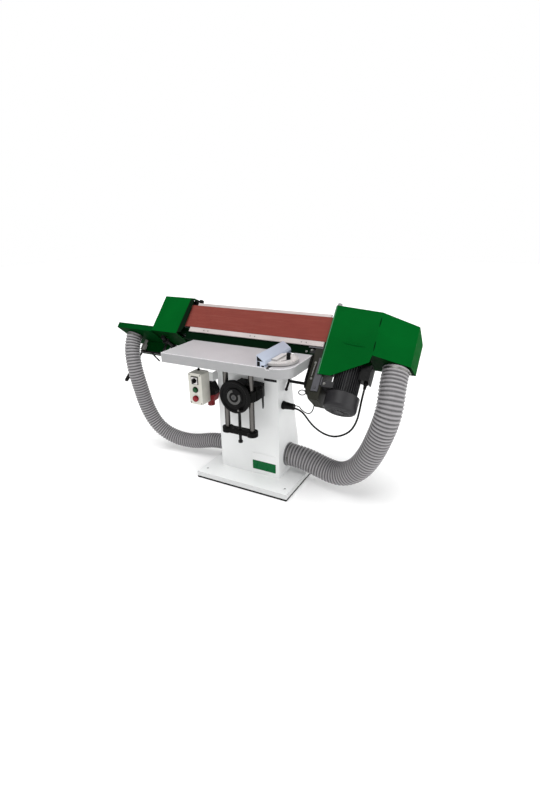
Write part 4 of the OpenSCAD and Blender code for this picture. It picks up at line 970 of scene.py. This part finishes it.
HOOD_V = -78
LEFT_EDGE = ((-516, 224), (-487.5, 226), (-489.5, 30), (-504, -7), (-533, -22))
EDGE_THICK = 0.0016
plate(
    "right_hood_edge",
    "head",
    head(466.8, HOOD_V, 51),
    X_DIR,
    W_DIR,
    size=(0.0055, 0.408),
    thick=0.0012,
    corner=0.002,
    look=green_highlight_strip,
)
left_edge = [head(x, HOOD_V, w) for x, w in LEFT_EDGE]
prism("left_hood_edge", "head", left_edge, FRONT * EDGE_THICK, green_shade_strip)
bead("right_hood_bead", "head", head(550, HOOD_V, 41), head(692, HOOD_V, 30), 0.012, 0.005, green_paint)
FOLD_WIDTH = 0.005
FOLD_HEIGHT = 0.002
for level, start, end in (("high", (727, 210), (727, 150)), ("low", (727, 70), (728, 12))):
    fold_start, fold_end = (head(x, HOOD_V, w) for x, w in (start, end))
    bead("right_hood_fold_" + level, "head", fold_start, fold_end, FOLD_WIDTH, FOLD_HEIGHT, green_painted_shade)

# Plates, bar, stay and wire loop of the beam, the tray's apron and the drive bracket


def block(name, low, high, look):
    """Block of the head, given by two corners of the head frame."""
    x0, v0, w0 = low
    x1, v1, w1 = high
    outline = [head(x0, v1, w0), head(x1, v1, w0), head(x1, v1, w1), head(x0, v1, w1)]
    prism(name, "head", outline, V_DIR * ((v0 - v1) / 1000), look)


# The beam's lip is a strip of painted shade
block("beam_lip", (-484, -57, -46), (411, -54, -34), green_shade_strip)
block("beam_end_plate", (370, -56.5, -46), (416, -52, 30), black_paint)
block("bracket_bar", (368, -67, -5), (452, -56, 3), dark_steel)
block("apron_end", (-765, 115, -112), (-706, 118, -30.5), green_tray_shaded)
WEB_X = 404
WEB_THICK = 0.0085
WEB = ((-56, -40), (-72, -48), (-80, -62), (-80, -196), (-74, -214), (-60, -236), (-40, -236), (-40, -40))
prism("bracket_web", "head", [head(WEB_X, v, w) for v, w in WEB], X_DIR * WEB_THICK, black_cast)
STAY_R = 0.0036
STAY_LENGTH = 0.075
STAY = [(AXIS, 0), (STAY_R, 0), (STAY_R, STAY_LENGTH), (AXIS, STAY_LENGTH)]
stay_top = head(435.5, -69.4, -95)
stay_way = head(-3.7, 0, -75) - PIVOT
stay = lathe(STAY, stay_top, stay_way, 20)
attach(mesh_piece("bracket_stay", *stay, zinc_steel, smooth=False), "head")
LOOP_X, LOOP_V, LOOP_W = 401, -55, -264.5
LOOP_HALF_LENGTH = 20
LOOP_HALF_WIDTH = 14
LOOP_POINTS = 49
WIRE_R = 0.0028
loop = [
    head(LOOP_X + LOOP_HALF_LENGTH * math.cos(t), LOOP_V, LOOP_W + LOOP_HALF_WIDTH * math.sin(t))
    for t in np.linspace(0, 2 * math.pi, LOOP_POINTS)
]
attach(tube("wire_loop", loop, [WIRE_R] * LOOP_POINTS, 12, cord_black), "head")

# Hose clamps: bands with a worm screw

LEFT_CLAMP_R = 0.0498
RIGHT_CLAMP_R = 0.0698
LEFT_CLAMP_IN = 0.016
RIGHT_CLAMP_IN = 0.019
BAND_HALF = 0.006
BAND_SUNK = 0.004
BAND_RAISED = 0.0008
BAND_FLAT_HALF = 0.005
WORM_R = 0.005
WORM_HALF = 0.012
WORM = [(AXIS, 0), (0.0045, 0), (WORM_R, 0.001), (WORM_R, 0.022), (0.0045, 0.024), (AXIS, 0.024)]


def clamp(name, body, centre, direction, r):
    """Band of radius r round a hose, with its worm screw."""
    a, b, _ = axes(direction)
    half = [
        (r - BAND_SUNK, -BAND_HALF),
        (r, -BAND_HALF),
        (r + BAND_RAISED, -BAND_FLAT_HALF),
    ]
    band = lathe(half + [(x, -h) for x, h in reversed(half)], centre, direction, 64)
    worm_at = Vector(centre) + a * (r + WORM_R) - b * WORM_HALF
    worm = lathe(WORM, worm_at, b, 20)
    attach(mesh_piece(name, *join([band, worm]), zinc_steel, smooth=False), body)


clamp("left_clamp_low", "column", LEFT_IN - X_DIR * LEFT_CLAMP_IN, X_DIR, LEFT_CLAMP_R)
clamp("right_clamp_low", "column", RIGHT_IN + X_DIR * RIGHT_CLAMP_IN, X_DIR, RIGHT_CLAMP_R)
clamp("left_clamp_high", "head", LEFT_START + DOWN * LEFT_CLAMP_IN, W_DIR, LEFT_CLAMP_R)
clamp("right_clamp_high", "head", RIGHT_START + DOWN * RIGHT_CLAMP_IN, W_DIR, RIGHT_CLAMP_R)

# Protractor scale: short raised marks round the gauge head

SCALE_CENTRE = Vector((0.284, -0.238, 0.8827))
SCALE_R = 0.1025
SCALE_STEP = 5
SCALE_STEPS = 16
MARK_HALF_WIDTH = 0.0004
MARK_LIFT = Vector((0, 0, 0.0003))
LONG_MARK = 0.012
SHORT_MARK = 0.007
MARK_FACES = [(4, 5, 6, 7), (0, 1, 5, 4), (1, 2, 6, 5), (2, 3, 7, 6), (3, 0, 4, 7)]


def scale_mark(i):
    """Verts and faces of one mark; every third one is long."""
    t = math.radians(i * SCALE_STEP)
    out = Vector((math.cos(t), math.sin(t), 0))
    side = Vector((-math.sin(t), math.cos(t), 0)) * MARK_HALF_WIDTH
    tip = SCALE_CENTRE + out * SCALE_R
    root = tip - out * (LONG_MARK if i % 3 == 0 else SHORT_MARK)
    foot = [tip - side, tip + side, root + side, root - side]
    return foot + [p + MARK_LIFT for p in foot], MARK_FACES


scale = join([scale_mark(i) for i in range(-SCALE_STEPS, SCALE_STEPS + 1)])
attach(mesh_piece("protractor_scale", *scale, black_plastic, smooth=False), "gauge_head")

# Gauge: black sheets of painted shade in the chambers at the fence's near end, and a grip on the clamp
# lever

FENCE_LOW = Vector((0.222, -0.366, 0.8656))
CHAMBER_LIFT = (0, -0.0008, 0)
CHAMBERS = (
    ((0.0025, 0.029), (0.037, 0.029), (0.0025, 0.055)),
    ((0.0025, 0.0025), (0.0195, 0.0025), (0.0195, 0.0265), (0.0025, 0.0265)),
    ((0.028, 0.001), (0.043, 0.001), (0.043, 0.008), (0.028, 0.008)),
)
for i, outline in enumerate(CHAMBERS):
    corners = [FENCE_LOW + Vector((x, 0, z)) for x, z in outline]
    prism(f"fence_chamber_shade_{i}", "gauge_head", corners, CHAMBER_LIFT, black_plastic)
LEVER_TOP = (0.340, -0.238, 0.8984)
GRIP = [(0.0085, 0), (0.0095, 0.004), (0.0095, 0.016), (0.0070, 0.0195), (AXIS, 0.0205)]
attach(mesh_piece("gauge_lever_grip", *lathe(GRIP, LEVER_TOP, UP, 24), black_plastic), "gauge_lever")

# Studio

FLOOR_HALF = 14
FLOOR_GLOW = 0.2
# Upward parts of a direction between which the sky darkens, and its strength at both
SKY_LOW, SKY_HIGH = 0.46, 0.62
SKY_ROUND, SKY_OVERHEAD = 1.0, 0.12


def add_floor():
    """A pale floor that glows a little, so that it is white away from the shadow."""
    corners = [(x * FLOOR_HALF, y * FLOOR_HALF, 0) for x, y in ((-1, -1), (1, -1), (1, 1), (-1, 1))]
    g = Graph("floor_pale")
    g.colour(g.mix(g.noise(3, 4), (0.86, 0.86, 0.86), (0.88, 0.88, 0.88)))
    g.rough(g.ramp(g.noise(20, 3), 0.3, 0.7, 0.6, 0.75))
    g.shader.inputs["Emission Color"].default_value = (1, 1, 1, 1)
    g.shader.inputs["Emission Strength"].default_value = FLOOR_GLOW
    floor = mesh_piece("floor", corners, [(0, 1, 2, 3)], g.material)


def add_sky():
    """White round the horizon, darker overhead."""
    world = bpy.data.worlds.new("studio")
    bpy.context.scene.world = world
    world.use_nodes = True
    tree = world.node_tree
    way = tree.nodes.new("ShaderNodeTexCoord")
    split = tree.nodes.new("ShaderNodeSeparateXYZ")
    fall = tree.nodes.new("ShaderNodeMapRange")
    fall.interpolation_type = "SMOOTHSTEP"
    tree.links.new(way.outputs["Generated"], split.inputs["Vector"])
    tree.links.new(split.outputs["Z"], fall.inputs["Value"])
    fall.inputs["From Min"].default_value = SKY_LOW
    fall.inputs["From Max"].default_value = SKY_HIGH
    fall.inputs["To Min"].default_value = SKY_ROUND
    fall.inputs["To Max"].default_value = SKY_OVERHEAD
    tree.nodes["Background"].inputs["Color"].default_value = (1, 1, 1, 1)
    tree.links.new(fall.outputs["Result"], tree.nodes["Background"].inputs["Strength"])
    bpy.context.scene.view_settings.view_transform = "Standard"


def add_light(name, way, spread, power):
    """A very soft light from far away, the same all over the floor."""
    data = bpy.data.lights.new(name, "SUN")
    data.angle = math.radians(spread)
    data.energy = power
    light = bpy.data.objects.new(name, data)
    light.matrix_world = Vector(way).to_track_quat("Z", "Y").to_matrix().to_4x4()
    bpy.context.collection.objects.link(light)


add_floor()
add_sky()
add_light("key", (-0.05, -0.22, 1.0), 50, 2.6)
add_light("fill", (0.95, -0.14, 0.40), 60, 1.25)
